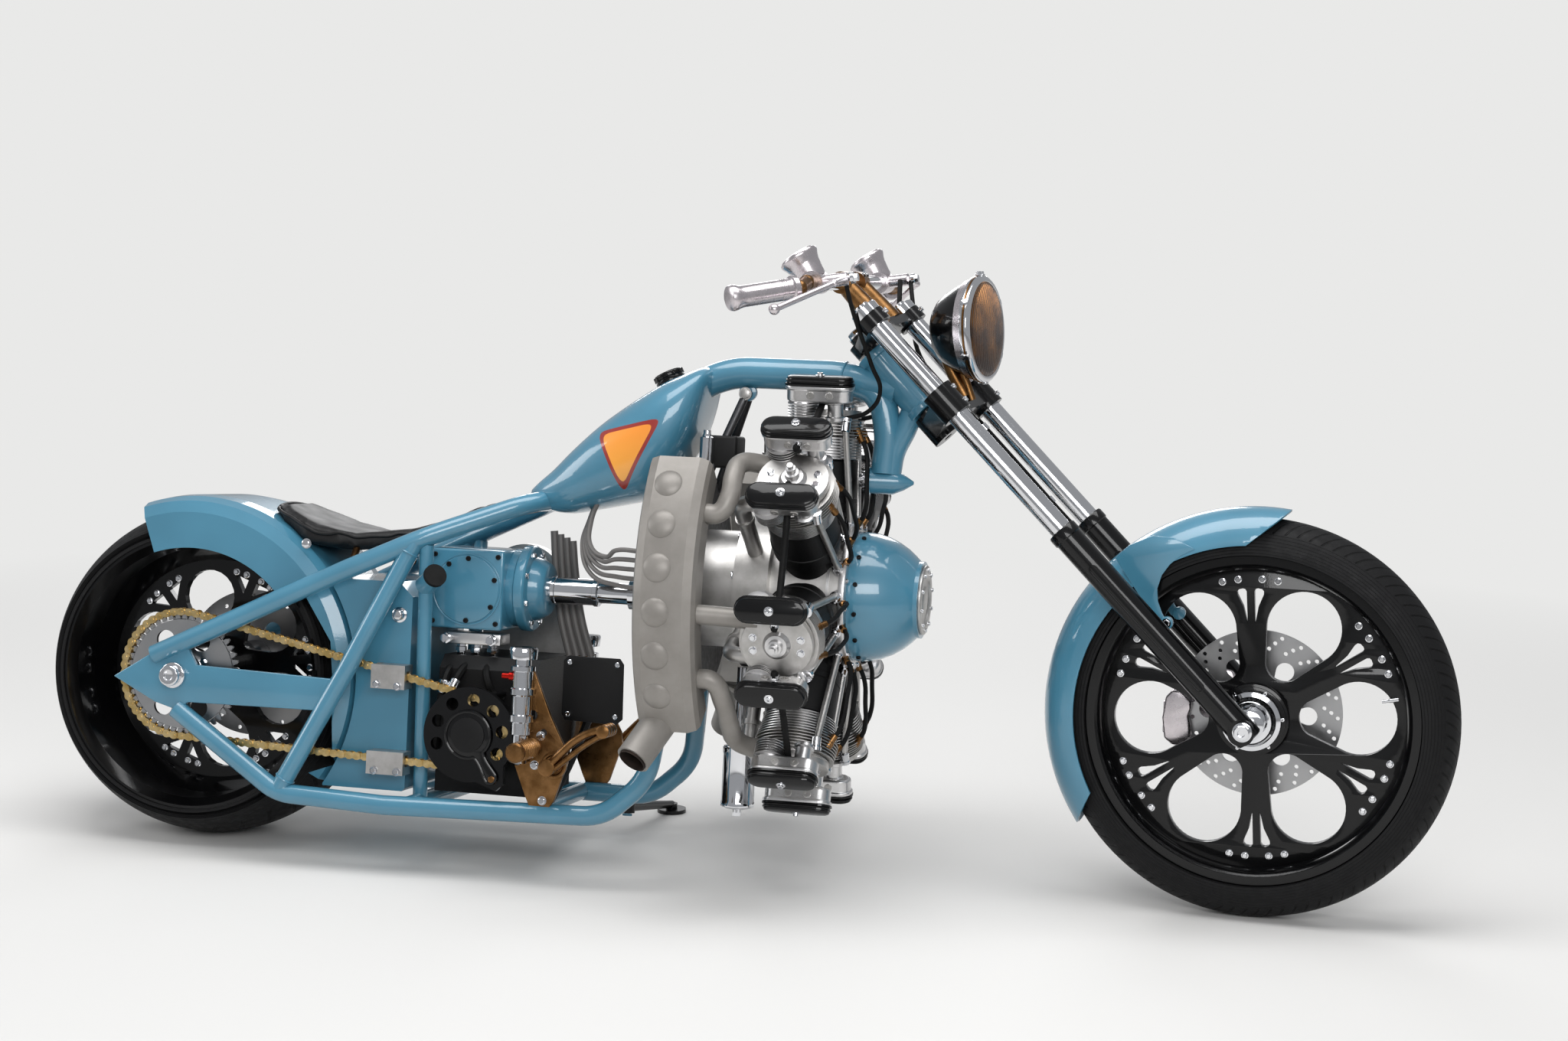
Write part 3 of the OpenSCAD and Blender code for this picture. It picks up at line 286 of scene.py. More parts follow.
def tyre_rubber(name, hub_matrix, radius, half_width, chevron, groove_pitch):
    """Vulcanised rubber, moulded with slanted grooves across its crown and fine rings on its walls: their
    height comes from the angle round the axle and the distance off the middle. The grooves are also
    painted darker than the rubber, as painted shade in them."""
    material, tree, shader = finish_shader(name, "#0D0D0E", 0.0, 0.6, Specular_IOR_Level=0.2)
    x, y, z = add(tree, "SeparateXYZ", {0: place(tree, hub_matrix)}).outputs
    flat = add(tree, "CombineXYZ", {"X": x, "Z": z}).outputs["Vector"]
    reach = add(tree, "VectorMath", {0: flat}, operation="LENGTH").outputs["Value"]
    off_middle = add(tree, "Math", {0: y}, operation="ABSOLUTE").outputs[0]
    angle = add(tree, "Math", {0: z, 1: x}, operation="ARCTAN2").outputs[0]
    round_tyre = add(tree, "Math", {0: angle, 1: radius / groove_pitch}, operation="MULTIPLY").outputs[0]
    slanted = add(tree, "Math", {0: off_middle, 1: -chevron, 2: round_tyre},
                  operation="MULTIPLY_ADD").outputs[0]
    within = add(tree, "Math", {0: slanted}, operation="FRACT").outputs[0]
    near = add(tree, "Math", {0: within, 1: 0.5}, operation="SUBTRACT").outputs[0]
    near = add(tree, "Math", {0: near}, operation="ABSOLUTE").outputs[0]
    groove = add(tree, "MapRange", {0: near, 1: 0.06, 2: 0.1, 3: 1.0, 4: 0.0}).outputs[0]
    on_crown = add(tree, "MapRange", {0: off_middle, 1: half_width * 0.8, 2: half_width * 0.86, 3: 1.0,
                                      4: 0.0})
    far_out = add(tree, "MapRange", {0: reach, 1: radius * 0.93, 2: radius * 0.94, 3: 0.0, 4: 1.0}).outputs[0]
    groove_cut_and_shade = add(tree, "Math", {0: groove, 1: on_crown.outputs[0]}, operation="MULTIPLY").outputs[0]
    groove_cut_and_shade = add(tree, "Math", {0: groove_cut_and_shade, 1: far_out}, operation="MULTIPLY").outputs[0]
    wave = add(tree, "Math", {0: reach, 1: 1.1}, operation="MULTIPLY").outputs[0]
    wave = add(tree, "Math", {0: wave}, operation="SINE").outputs[0]
    ring = add(tree, "MapRange", {0: wave, 1: 0.7, 2: 1.0, 3: 0.0, 4: 0.25}).outputs[0]
    on_wall = add(tree, "Math", {0: 1.0, 1: far_out}, operation="SUBTRACT").outputs[0]
    ring = add(tree, "Math", {0: ring, 1: on_wall}, operation="MULTIPLY").outputs[0]
    height = add(tree, "Math", {0: ring, 1: groove_cut_and_shade}, operation="SUBTRACT").outputs[0]
    relief = add(tree, "Bump", {"Height": height, "Distance": 0.004, "Strength": 1.0})
    tree.links.new(relief.outputs["Normal"], shader.inputs["Normal"])
    # Painted shade: the grooves get a darker colour than the rest of the rubber, standing in for the shade in
    # them.
    mottle(tree, shader, groove_cut_and_shade, "#121213", "#010101")
    haze(tree, shader, 60.0, 4.0, 0.5, 0.72)
    return material


front_tyre_rubber = tyre_rubber("front_tyre_rubber", FRONT, 370.0, 58.0, 0.034, 24.0)
rear_tyre_rubber = tyre_rubber("rear_tyre_rubber", REAR, 328.0, 118.0, 0.011, 62.0)

FINISHES = {"blue_paint": teal_enamel, "black_paint": black_gloss, "leather": leather, "rubber": rubber,
            "bronze": bronze, "chrome": chrome, "gold_chain": chain_gold, "aluminium": cast_aluminium,
            "dark_alloy": black_satin, "exhaust_steel": exhaust_coat, "disc_steel": disc_steel,
            "tyre": front_tyre_rubber}
SLOT_OF = {material.name: slot for slot, material in FINISHES.items()}
SLOT_OF.update({
    "polished_aluminium": "chrome", "milled_aluminium": "aluminium", "phosphated_steel": "dark_alloy",
    "grey_silicone_lead": "rubber", "red_anodised_aluminium": "aluminium", "amber_lamp_glass": "bronze",
    "rear_tyre_rubber": "tyre", "sooty_steel": "exhaust_steel",
})
OWN_FINISH = {
    "rear_tyre": rear_tyre_rubber, "cylinder_heads": milled_aluminium, "grips": polished_aluminium,
    "hand_controls": polished_aluminium, "engine_mount": dark_steel, "lower_tree": black_gloss,
    "transmission_case": black_satin, "rear_sprocket": disc_steel, "sprocket_cover": black_gloss,
}
for part in frame["record"]["subparts"]:
    node = part["node"]
    nodes[node].data.materials.clear()
    nodes[node].data.materials.append(OWN_FINISH.get(node) or FINISHES[part["material_slot"]])

# ---------------------------------------------------------------- making pieces


def nothing_selected():
    if bpy.context.object and bpy.context.object.mode != "OBJECT":
        bpy.ops.object.mode_set(mode="OBJECT")
    bpy.ops.object.select_all(action="DESELECT")


def only(obj):
    nothing_selected()
    obj.select_set(True)
    bpy.context.view_layer.objects.active = obj


def edit_all():
    bpy.ops.object.mode_set(mode="EDIT")
    bpy.ops.mesh.select_all(action="SELECT")


def face_outwards(merge=0.0):
    """In edit mode, merges doubles where asked, turns every face outwards and goes back to object mode."""
    bpy.ops.mesh.select_all(action="SELECT")
    if merge:
        bpy.ops.mesh.remove_doubles(threshold=merge)
    bpy.ops.mesh.normals_make_consistent(inside=False)
    bpy.ops.object.mode_set(mode="OBJECT")


def pick(obj, test):
    """In edit mode, selects just the faces whose middle and normal pass the test."""
    bpy.ops.object.mode_set(mode="OBJECT")
    for item in (obj.data.vertices, obj.data.edges):
        item.foreach_set("select", [False] * len(item))
    for face in obj.data.polygons:
        face.select = bool(test(face.center, face.normal))
    bpy.ops.object.mode_set(mode="EDIT")


def own_mesh(obj, name, where, material, smooth):
    """Names a finished shape, puts its place in its mesh and gives it its finish."""
    only(obj)
    obj.name = name
    obj.data.name = name
    obj.matrix_world = where @ obj.matrix_world
    bpy.ops.object.transform_apply(location=True, rotation=True, scale=True)
    obj.data.materials.clear()
    obj.data.materials.append(material)
    bpy.ops.object.shade_smooth_by_angle(angle=math.radians(smooth))


def fit(obj, name, where, body, material, smooth=35):
    """Finishes a shape and sets it in place on its body."""
    own_mesh(obj, name, where, material, smooth)
    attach(obj, body)
    return obj


def apply_modifiers(obj):
    only(obj)
    for modifier in list(obj.modifiers):
        bpy.ops.object.modifier_apply(modifier=modifier.name)


def soften(obj, width, segments=2, angle=35):
    """Rounds the edges sharper than an angle."""
    bevel = obj.modifiers.new("edge", "BEVEL")
    bevel.width = width
    bevel.segments = segments
    bevel.limit_method = "ANGLE"
    bevel.angle_limit = math.radians(angle)
    apply_modifiers(obj)
    return obj


def thicken(obj, thickness):
    """Gives a skin a wall, inwards from its outer face."""
    only(obj)
    wall = obj.modifiers.new("wall", "SOLIDIFY")
    wall.thickness = thickness
    wall.offset = -1
    apply_modifiers(obj)
    return obj


def moved(obj, where):
    obj.matrix_world = where @ obj.matrix_world
    return obj


def turned(rings, sides=48):
    """A turned piece about Z: (height, radius) from its first face to its last."""
    nothing_selected()
    height, radius = rings[0]
    bpy.ops.mesh.primitive_circle_add(vertices=sides, radius=radius, fill_type="NGON",
                                      location=(0, 0, height))
    obj = bpy.context.object
    bpy.ops.object.transform_apply(location=True)
    edit_all()
    for next_height, next_radius in rings[1:]:
        bpy.ops.mesh.extrude_region_move(TRANSFORM_OT_translate={"value": (0, 0, next_height - height)})
        factor = next_radius / radius
        bpy.ops.transform.resize(value=(factor, factor, 1), center_override=(0, 0, next_height))
        height, radius = next_height, next_radius
    face_outwards()
    return obj


def block(size, middle=(0, 0, 0), edge=1.0, segments=2):
    nothing_selected()
    bpy.ops.mesh.primitive_cube_add(size=1, location=middle)
    obj = bpy.context.object
    obj.scale = size
    bpy.ops.object.transform_apply(location=True, rotation=False, scale=True)
    return soften(obj, edge, segments)


def outline_plate(points, low, high, edge=0.0, holes=(), segments=2):
    """A flat plate cut to an outline in XY, from low to high along Z, with holes."""
    nothing_selected()
    bpy.ops.curve.primitive_bezier_circle_add(radius=1)
    shape = bpy.context.object.data
    shape.dimensions = "2D"
    shape.fill_mode = "BOTH"
    shape.splines.clear()
    for loop in [points] + list(holes):
        spline = shape.splines.new("POLY")
        spline.points.add(len(loop) - 1)
        for point, (x, y) in zip(spline.points, loop):
            point.co = (x, y, 0, 1)
        spline.use_cyclic_u = True
    shape.extrude = (high - low) / 2
    bpy.ops.object.convert(target="MESH")
    obj = bpy.context.object
    obj.location.z = (high + low) / 2
    bpy.ops.object.transform_apply(location=True)
    edit_all()
    face_outwards(merge=0.0005)
    if edge:
        soften(obj, edge, segments)
    return obj


def loft(outline, stations):
    """A skin over an outline, set at each station: (height, x, y, width, depth)."""
    obj = outline_plate(outline, 0, 0)
    edit_all()
    height, x, y, width, depth = stations[0]
    bpy.ops.transform.resize(value=(width, depth, 1), center_override=(0, 0, 0))
    bpy.ops.transform.translate(value=(x, y, height))
    for station in stations[1:]:
        rise, over, across = station[0] - height, station[1] - x, station[2] - y
        wider, deeper = station[3] / width, station[4] / depth
        height, x, y, width, depth = station
        bpy.ops.mesh.extrude_region_move(TRANSFORM_OT_translate={"value": (over, across, rise)})
        bpy.ops.transform.resize(value=(wider, deeper, 1), center_override=(x, y, height))
    face_outwards()
    return obj


def pipe(points, radius, sides=12, smooth=True, closed=False):
    """A tube along points: a Bezier path with the tube's radius, made a mesh."""
    nothing_selected()
    bpy.ops.curve.primitive_bezier_curve_add()
    shape = bpy.context.object.data
    shape.splines.clear()
    spline = shape.splines.new("BEZIER" if smooth else "POLY")
    if smooth:
        spline.bezier_points.add(len(points) - 1)
        for point, place_at in zip(spline.bezier_points, points):
            point.co = place_at
            point.handle_left_type = point.handle_right_type = "AUTO"
    else:
        spline.points.add(len(points) - 1)
        for point, place_at in zip(spline.points, points):
            point.co = tuple(place_at) + (1,)
    spline.use_cyclic_u = closed
    shape.dimensions = "3D"
    shape.resolution_u = 8
    shape.bevel_depth = radius
    shape.bevel_resolution = max(1, sides // 4 - 1)
    shape.use_fill_caps = not closed
    bpy.ops.object.convert(target="MESH")
    return bpy.context.object


def copy_of(obj, where):
    """A copy with its own mesh, moved by a matrix."""
    twin = obj.copy()
    twin.data = obj.data.copy()
    bpy.context.scene.collection.objects.link(twin)
    return moved(twin, where)


def joined(objs):
    nothing_selected()
    for obj in objs:
        obj.select_set(True)
    bpy.context.view_layer.objects.active = objs[0]
    if len(objs) > 1:
        bpy.ops.object.join()
    bpy.ops.object.transform_apply(location=True, rotation=True, scale=True)
    return objs[0]


def spread(obj, places):
    """The piece repeated at each place and joined into one."""
    twins = [copy_of(obj, where) for where in places]
    bpy.data.objects.remove(obj)
    return joined(twins)


# ---------------------------------------------------------------- outlines and places


def ring_of(count, radius, start=0.0, height=0.0):
    """Places round Z, each with its own X pointing outwards."""
    return [turn(start + 360 * i / count, "Z") @ shift(radius, 0, height) for i in range(count)]


def aim(a, b):
    """A place at a whose Z points to b."""
    a, b = Vector(a), Vector(b)
    return Matrix.Translation(a) @ (b - a).to_track_quat("Z", "Y").to_matrix().to_4x4()


def on_circle(x, y, radius, degrees):
    angle = math.radians(degrees)
    return x + radius * math.cos(angle), y + radius * math.sin(angle)


def round_outline(x, y, radius, n=24, start=0.0, sweep=360.0):
    """Points round a circle, or along an arc with both its ends."""
    last = n if sweep == 360.0 else n + 1
    return [on_circle(x, y, radius, start + sweep * i / n) for i in range(last)]


def slot_outline(length, radius, n=10):
    half = length / 2 - radius
    return round_outline(half, 0, radius, n, -90, 180) + round_outline(-half, 0, radius, n, 90, 180)


def belt_outline(c1, r1, c2, r2, n=24):
    """The outline of a belt round two circles."""
    gap = Vector(c2) - Vector(c1)
    slope = math.degrees(math.atan2(gap.y, gap.x))
    wrap = math.degrees(math.acos((r1 - r2) / gap.length))
    first = round_outline(c1[0], c1[1], r1, n, slope + wrap, 360 - 2 * wrap)
    return first + round_outline(c2[0], c2[1], r2, n, slope - wrap, 2 * wrap)


def squared_circle(power, n=40):
    """A circle whose sides are pushed out towards a square's, one unit in radius."""
    rounded = []
    for i in range(n):
        c, s = on_circle(0, 0, 1, 360 * i / n)
        rounded.append((math.copysign(abs(c) ** (2 / power), c), math.copysign(abs(s) ** (2 / power), s)))
    return rounded


def swung(points, angle):
    """An outline turned about the origin."""
    c, s = on_circle(0, 0, 1, angle)
    return [(x * c - y * s, x * s + y * c) for x, y in points]


def mirrored(points, side):
    """A path on the given side of the bike."""
    return [(x, side * y, z) for x, y, z in points]


def bent(points, radius, steps=7):
    """The points with a bend in place of each corner."""
    points = [Vector(p) for p in points]
    path = [points[0]]
    for before, corner, after in zip(points, points[1:], points[2:]):
        back, on = before - corner, after - corner
        reach = min(radius * math.tan((math.pi - back.angle(on)) / 2), back.length * 0.48, on.length * 0.48)
        first, last = corner + back.normalized() * reach, corner + on.normalized() * reach
        for i in range(steps + 1):
            t = i / steps
            path.append(first * (1 - t) ** 2 + corner * 2 * t * (1 - t) + last * t * t)
    return path + [points[-1]]


def smooth_steps(rows, between):
    """Rows of numbers with extra rows between them, on a smooth curve through them all."""
    out = []
    for i in range(len(rows) - 1):
        before, a, b, after = rows[max(i - 1, 0)], rows[i], rows[i + 1], rows[min(i + 2, len(rows) - 1)]
        for step in range(between):
            t = step / between
            out.append([0.5 * (2 * q + (r - p) * t + (2 * p - 5 * q + 4 * r - s) * t * t
                               + (3 * q - p - 3 * r + s) * t ** 3)
                        for p, q, r, s in zip(before, a, b, after)])
    return out + [list(rows[-1])]


def fin_rings(count, low, step, root, reach, taper=0.0, thick=2.3):
    """Rings of cooling fins on a turned piece, each a little wider or narrower than the last."""
    rings = []
    for i in range(count):
        z, edge = low + i * step, reach + i * taper
        rings += [(z, root), (z + 0.3, edge), (z + thick - 0.4, edge), (z + thick, root)]
    return rings


def socket_screw(r=4.0, height=4.0):
    """A cap screw whose socket is sunk 2 mm."""
    return turned([(-3, r * 0.55), (0, r * 0.55), (0, r), (height - 0.6, r), (height, r * 0.85),
                   (height, r * 0.55), (height - 2, r * 0.5)], 16)


def hex_bolt(r=8.0, height=6.0):
    """A hexagon head on its washer."""
    washer = turned([(-1, r * 0.5), (0, r * 1.25), (1.2, r * 1.25), (1.2, r)], 24)
    return joined([washer, turned([(1, r), (height - 0.8, r), (height, r * 0.82), (height, 0.4)], 6)])


# ---------------------------------------------------------------- petrol tank and seat

# x, underside, top, half width
TANK = [(641, 704, 722, 12), (660, 690, 739, 36), (690, 680, 765, 56), (730, 678, 806, 78),
        (780, 688, 852, 99), (830, 699, 890, 115), (880, 713, 924, 124), (915, 742, 946, 125),
        (942, 775, 958, 120), (964, 815, 968, 109), (980, 862, 973, 94), (991, 908, 972, 74),
        (997, 935, 967, 50)]
sections = [(x, 0, (low + high) / 2, half, (high - low) / 2) for x, low, high, half in smooth_steps(TANK, 3)]
tank = fit(loft(squared_circle(2.5), sections), "tank_shell", BIKE @ ACROSS_UP_AHEAD, "chassis",
           teal_enamel, smooth=50)
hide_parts("fuel_tank")


def transfer_enamel(corners, rounding, border):
    """The tank's enamel with a transfer under its clear coat on both sides: a plain orange triangle
    with rounded corners and a dark red border."""
    material = enamel("teal_enamel_with_transfer", TEAL, TEAL_SHADE)
    tree = material.node_tree
    shader = tree.nodes["Principled BSDF"]
    plain = shader.inputs["Base Color"].links[0].from_socket
    on_bike = place(tree, BIKE)
    middle = sum(corners, Vector((0, 0))) / 3
    outside = None
    for first, second in zip(corners, corners[1:] + corners[:1]):
        along = (second - first).normalized()
        out = Vector((-along.y, along.x))
        if out.dot(middle - first) > 0:
            out = -out
        reach = add(tree, "VectorMath", {0: on_bike, 1: (out.x, 0, out.y)}, operation="DOT_PRODUCT")
        edge = add(tree, "Math", {0: reach.outputs["Value"], 1: out.dot(first)},
                   operation="SUBTRACT").outputs[0]
        outside = edge if outside is None else add(tree, "Math", {0: outside, 1: edge, 2: rounding},
                                                   operation="SMOOTH_MAX").outputs[0]
    inside = add(tree, "MapRange", {0: outside, 1: -0.4, 2: 0.4, 3: 1.0, 4: 0.0}).outputs[0]
    orange = add(tree, "MapRange", {0: outside, 1: -border - 0.4, 2: -border + 0.4, 3: 1.0,
                                    4: 0.0}).outputs[0]
    height = add(tree, "SeparateXYZ", {0: on_bike}).outputs["Z"]
    fade = add(tree, "MapRange", {0: height, 1: 740.0, 2: 860.0}).outputs[0]
    tones = {TONE_A: colour("#F2A93B"), TONE_B: colour("#E98B2A")}
    face = add(tree, "Mix", {0: fade, **tones}, data_type="RGBA").outputs[2]
    tones = {TONE_A: colour("#8E1F14"), TONE_B: face}
    bordered = add(tree, "Mix", {0: orange, **tones}, data_type="RGBA").outputs[2]
    tones = {TONE_A: plain, TONE_B: bordered}
    painted = add(tree, "Mix", {0: inside, **tones}, data_type="RGBA").outputs[2]
    tree.links.new(painted, shader.inputs["Base Color"])
    return material


TRIANGLE = [Vector((793, 838)), Vector((928, 872)), Vector((852, 722))]
tank.data.materials[0] = transfer_enamel(TRIANGLE, rounding=26.0, border=7.0)

CAP = BIKE @ shift(915, 0, 932) @ turn(-27, "Y")
cap = soften(turned([(8, 29), (17, 29.5), (17.5, 27), (20, 27), (20.5, 29.5), (28, 29.5), (31, 27),
                     (31, 8)], 56), 1.2)
fit(cap, "tank_filler_cap", CAP, "chassis", black_gloss)
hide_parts("fuel_cap")
cap_ribs = spread(block((3, 5, 9), (0, 0, 24.5), 1), ring_of(14, 29.3))
fit(cap_ribs, "filler_cap_ribs", CAP, "chassis", black_gloss)


def swell(cushion, steps, most):
    """Blows a cushion up under its leather, no point by more than most."""
    rest = [0.0] * (3 * len(cushion.data.vertices))
    cushion.data.vertices.foreach_get("co", rest)
    cloth = cushion.modifiers.new("leather", "CLOTH")
    cloth.settings.use_pressure = True
    cloth.settings.uniform_pressure_force = 4.0
    cloth.settings.effector_weights.gravity = 0.0
    cloth.settings.quality = 4
    for step in range(1, steps + 1):
        bpy.context.scene.frame_set(step)
    apply_modifiers(cushion)
    swollen = [0.0] * len(rest)
    cushion.data.vertices.foreach_get("co", swollen)
    for i in range(0, len(rest), 3):
        here, there = Vector(rest[i:i + 3]), Vector(swollen[i:i + 3])
        if (there - here).length > most:
            there = here + (there - here).normalized() * most
        swollen[i:i + 3] = there
    cushion.data.vertices.foreach_set("co", swollen)
    cushion.data.update()
    bpy.context.scene.frame_set(1)


# Seat cushion: the seat's own solid, blown up under its leather
cushion = copy_of(nodes["seat"], Matrix.Identity(4))
cushion.hide_render = False
only(cushion)
edit_all()
bpy.ops.mesh.remove_doubles(threshold=0.0001)
bpy.ops.object.mode_set(mode="OBJECT")
remesh = cushion.modifiers.new("remesh", "REMESH")
remesh.mode = "VOXEL"
remesh.voxel_size = 0.0045
apply_modifiers(cushion)
swell(cushion, 20, 0.006)
relax = cushion.modifiers.new("relax", "SMOOTH")
relax.iterations = 6
relax.factor = 0.5
finer = cushion.modifiers.new("finer", "SUBSURF")
finer.levels = finer.render_levels = 1
apply_modifiers(cushion)
fit(cushion, "seat_cushion", Matrix.Identity(4), "chassis", leather, smooth=180)
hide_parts("seat")


def widest_line(skin, side, count):
    """Points 1 mm inside the cushion's widest line on one side, from its back to its front."""
    back_end, front_end = min(p.x for p in skin), max(p.x for p in skin)
    line = []
    for step in range(count):
        x = back_end + (front_end - back_end) * (0.02 + 0.96 * step / (count - 1))
        near = [p for p in skin if abs(p.x - x) < 4 and p.y * side > 0]
        outermost = max(p.y * side for p in near)
        rim = [p for p in near if p.y * side > outermost - 2.5]
        line.append(Vector((x, side * (outermost - 1.0), max(p.z for p in rim) - 1.0)))
    return line


# Welt round the seat
to_bike = BIKE.inverted()
skin = [to_bike @ vertex.co for vertex in cushion.data.vertices]
welt = pipe(widest_line(skin, -1, 29) + widest_line(skin, 1, 29)[::-1], 3.6, 12, closed=True)
fit(welt, "seat_welt", BIKE, "chassis", leather, smooth=60)
seat_bolts = spread(hex_bolt(8, 7), [shift(236, side * 150, 596) @ OUTWARD[side] for side in (-1, 1)])
fit(seat_bolts, "seat_bracket_bolts", BIKE, "chassis", chrome)

# ---------------------------------------------------------------- engine

CRANK_LINE = BIKE @ shift(0, 0, CRANK_Z) @ AHEAD
ALL_CYLINDERS = [shift(CYLINDER_X, 0, CRANK_Z) @ turn(i * 360 / CYLINDERS, "X") for i in range(CYLINDERS)]
ALL_BOXES = [where @ turn(side * BOX_TILT, "X") for where in ALL_CYLINDERS for side in (-1, 1)]

# Barrels: black sleeves at the crankcase, and milled fins above them
sleeve = turned([(100, 52), (158, 52), (159, 64), (176, 64), (177, 66), (186, 66), (187, 64), (254, 64),
                 (258, 60)], 48)
fit(spread(sleeve, ALL_CYLINDERS), "barrel_sleeves", BIKE, "chassis", black_satin)
rings = [(256, 57)] + fin_rings(8, 258.5, 5.5, 59, 68, 1.1, 2.4) + [(303, 57)]
fins = spread(turned(rings, 48), ALL_CYLINDERS)
fit(fins, "barrel_fins", BIKE, "chassis", milled_aluminium)
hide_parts("cylinder_barrels")

# Heads: cast fins, a crown with its bolts, and the well of the plug
rings = [(302.5, 56)] + fin_rings(6, 304, 5.6, 60, 78.5, -1) + [(337, 60), (337.5, 66), (340, 66)]
head_fins = spread(turned(rings, 48), ALL_CYLINDERS)
fit(head_fins, "head_fins", BIKE, "chassis", cast_aluminium)
crown = soften(outline_plate(slot_outline(132, 56, 14), 338, 352), 4, 3)
fit(spread(crown, ALL_CYLINDERS), "head_crowns", BIKE, "chassis", cast_aluminium)
dome = turned([(350, 27), (352, 26), (356, 22), (360, 20), (361, 14), (372, 13), (373, 9), (384, 9),
               (385, 6), (392, 5.5)], 32)
fit(spread(dome, ALL_CYLINDERS), "plug_wells", BIKE, "chassis", milled_aluminium)
crown_bolts = [where @ shift(x, y, 351) for where in ALL_CYLINDERS for x in (-44, 44) for y in (-12, 12)]
fit(spread(hex_bolt(6, 7), crown_bolts), "head_bolts", BIKE, "chassis", chrome)

# Rocker boxes, two to a head, under gloss black lids
BOX = [(x, y / 0.36) for x, y in slot_outline(2, 0.36, 10)]
box_steps = [(371, 58, 18), (374, 62.5, 21.5), (377, 63, 22), (395, 63, 22), (397, 66, 24.5), (403, 66, 24.5)]
rocker_box = loft(BOX, [(z, 0, 0, length, width) for z, length, width in box_steps])
rocker_boxes = spread(soften(rocker_box, 1.0, 2, 30), ALL_BOXES)
fit(rocker_boxes, "rocker_boxes", BIKE, "chassis", milled_aluminium)
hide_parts("cylinder_heads")
cover_steps = [(403.3, 67, 25), (407, 67, 25), (408.5, 64, 22), (410, 63.5, 21.5), (411, 65.5, 23.5),
               (413.5, 65.5, 23.5), (414.5, 63.5, 21.5), (416, 63.5, 21.5), (419, 62, 20), (421, 57, 15)]
cover = loft(BOX, [(z, 0, 0, length, width) for z, length, width in cover_steps])
covers = spread(cover, ALL_BOXES)
fit(covers, "rocker_lids", BIKE, "chassis", black_gloss, smooth=30)
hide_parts("rocker_covers")
lid_bolt = turned([(418, 4), (421, 8.5), (423, 8.5), (423.5, 5.5), (427, 5.5), (427.6, 4.6), (427.6, 2.6),
                   (425, 2.6)], 20)
fit(spread(lid_bolt, ALL_BOXES), "rocker_lid_bolts", BIKE, "chassis", chrome)
plug = turned([(-1, 7.5), (2, 7.5), (2.6, 6.8), (2.6, 3.4), (0.8, 3.2)], 20)
plug_places = [where @ shift(x, side * 21.6, 386) @ turn(side * -90, "X") for where in ALL_BOXES
               for side in (-1, 1) for x in (-14, 22)]
fit(spread(plug, plug_places), "rocker_shaft_plugs", BIKE, "chassis", cast_aluminium)

# Nuts at both ends of the push rod tubes
nuts = [where @ shift(0, side * 34, 0) @ shift(62, 0, 132) @ turn(-8, "Y") for where in ALL_CYLINDERS
        for side in (-1, 1)]
nut = turned([(-12, 10), (-8, 11.5), (6, 11.5), (8, 9.5), (18, 9.5), (20, 7)], 16)
fit(spread(nut, nuts), "pushrod_tube_nuts", BIKE, "chassis", chrome)
nuts = [where @ shift(50, side * 62, 322) @ turn(side * 8, "X") for where in ALL_CYLINDERS
        for side in (-1, 1)]
nut = turned([(-12, 7), (-10, 9.5), (6, 9.5), (8, 11), (14, 11)], 16)
fit(spread(nut, nuts), "pushrod_upper_nuts", BIKE, "chassis", chrome)

# Ignition leads: from the ring behind the nose to the plugs in front of each head
leads, ends = [], []
lead_end = turned([(-6, 6), (-5, 8), (6, 8), (8, 6.5), (22, 6.5), (23, 5)], 14)
for where in ALL_CYLINDERS:
    for side in (-1, 1):
        path = mirrored([(70, 20, 128), (88, 30, 160), (90, 34, 215), (84, 30, 280), (66, 26, 312)], side)
        leads.append(moved(pipe(path, 4.6, 10), where))
        ends += [where @ aim(path[0], path[1]), where @ aim(path[4], path[3])]
fit(joined(leads), "ignition_leads", BIKE, "chassis", rubber)
fit(spread(lead_end, ends), "ignition_lead_ends", BIKE, "chassis", bronze)

# Nose case: flange, bowl, the disc on its tip and their screws
flange = soften(turned([(1284, 126), (1284, 141), (1295, 141), (1297, 139), (1297, 124)], 96), 1.2)
fit(flange, "nose_flange", CRANK_LINE, "chassis", milled_aluminium)
screws = spread(socket_screw(4.6, 4), ring_of(16, 133, 8, 1297))
fit(screws, "nose_flange_screws", CRANK_LINE, "chassis", chrome)
nose = turned([(1297, 122), (1300, 123.5), (1312, 123.5), (1332, 121), (1352, 115.5), (1372, 106.5),
               (1390, 95), (1404, 83), (1411, 76), (1414, 73), (1422, 73), (1422, 60)], 96)
fit(nose, "nose_bowl", CRANK_LINE, "chassis", teal_enamel, smooth=40)
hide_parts("nose_case")
rim_places = [turn(360 * i / 14, "Z") @ shift(122.6, 0, 1313) @ AHEAD for i in range(14)]
fit(spread(socket_screw(4.4, 4.4), rim_places), "nose_rim_screws", CRANK_LINE, "chassis", black_satin)
front_disc = soften(turned([(1422, 66), (1427, 66), (1428, 64), (1428, 48), (1424, 46), (1424, 26),
                            (1427, 24), (1427, 6)], 72), 0.6)
fit(front_disc, "nose_disc", CRANK_LINE, "chassis", cast_aluminium)
disc_screws = spread(socket_screw(4.2, 5), ring_of(10, 57, 0, 1427))
fit(disc_screws, "nose_disc_screws", CRANK_LINE, "chassis", chrome)

# Crankcase bolts, and the bands round it
case_bolts = spread(hex_bolt(6, 6), ring_of(14, 116, 12.86, 1151) + ring_of(10, 134, 4, 1079))
fit(case_bolts, "crankcase_bolts", CRANK_LINE, "chassis", chrome)
band = turned([(1176, 126.2), (1176.5, 128), (1181, 128), (1181.5, 126.2)], 96)
fit(spread(band, [shift(0, 0, 0), shift(0, 0, 82)]), "crankcase_bands", CRANK_LINE, "chassis",
    milled_aluminium)

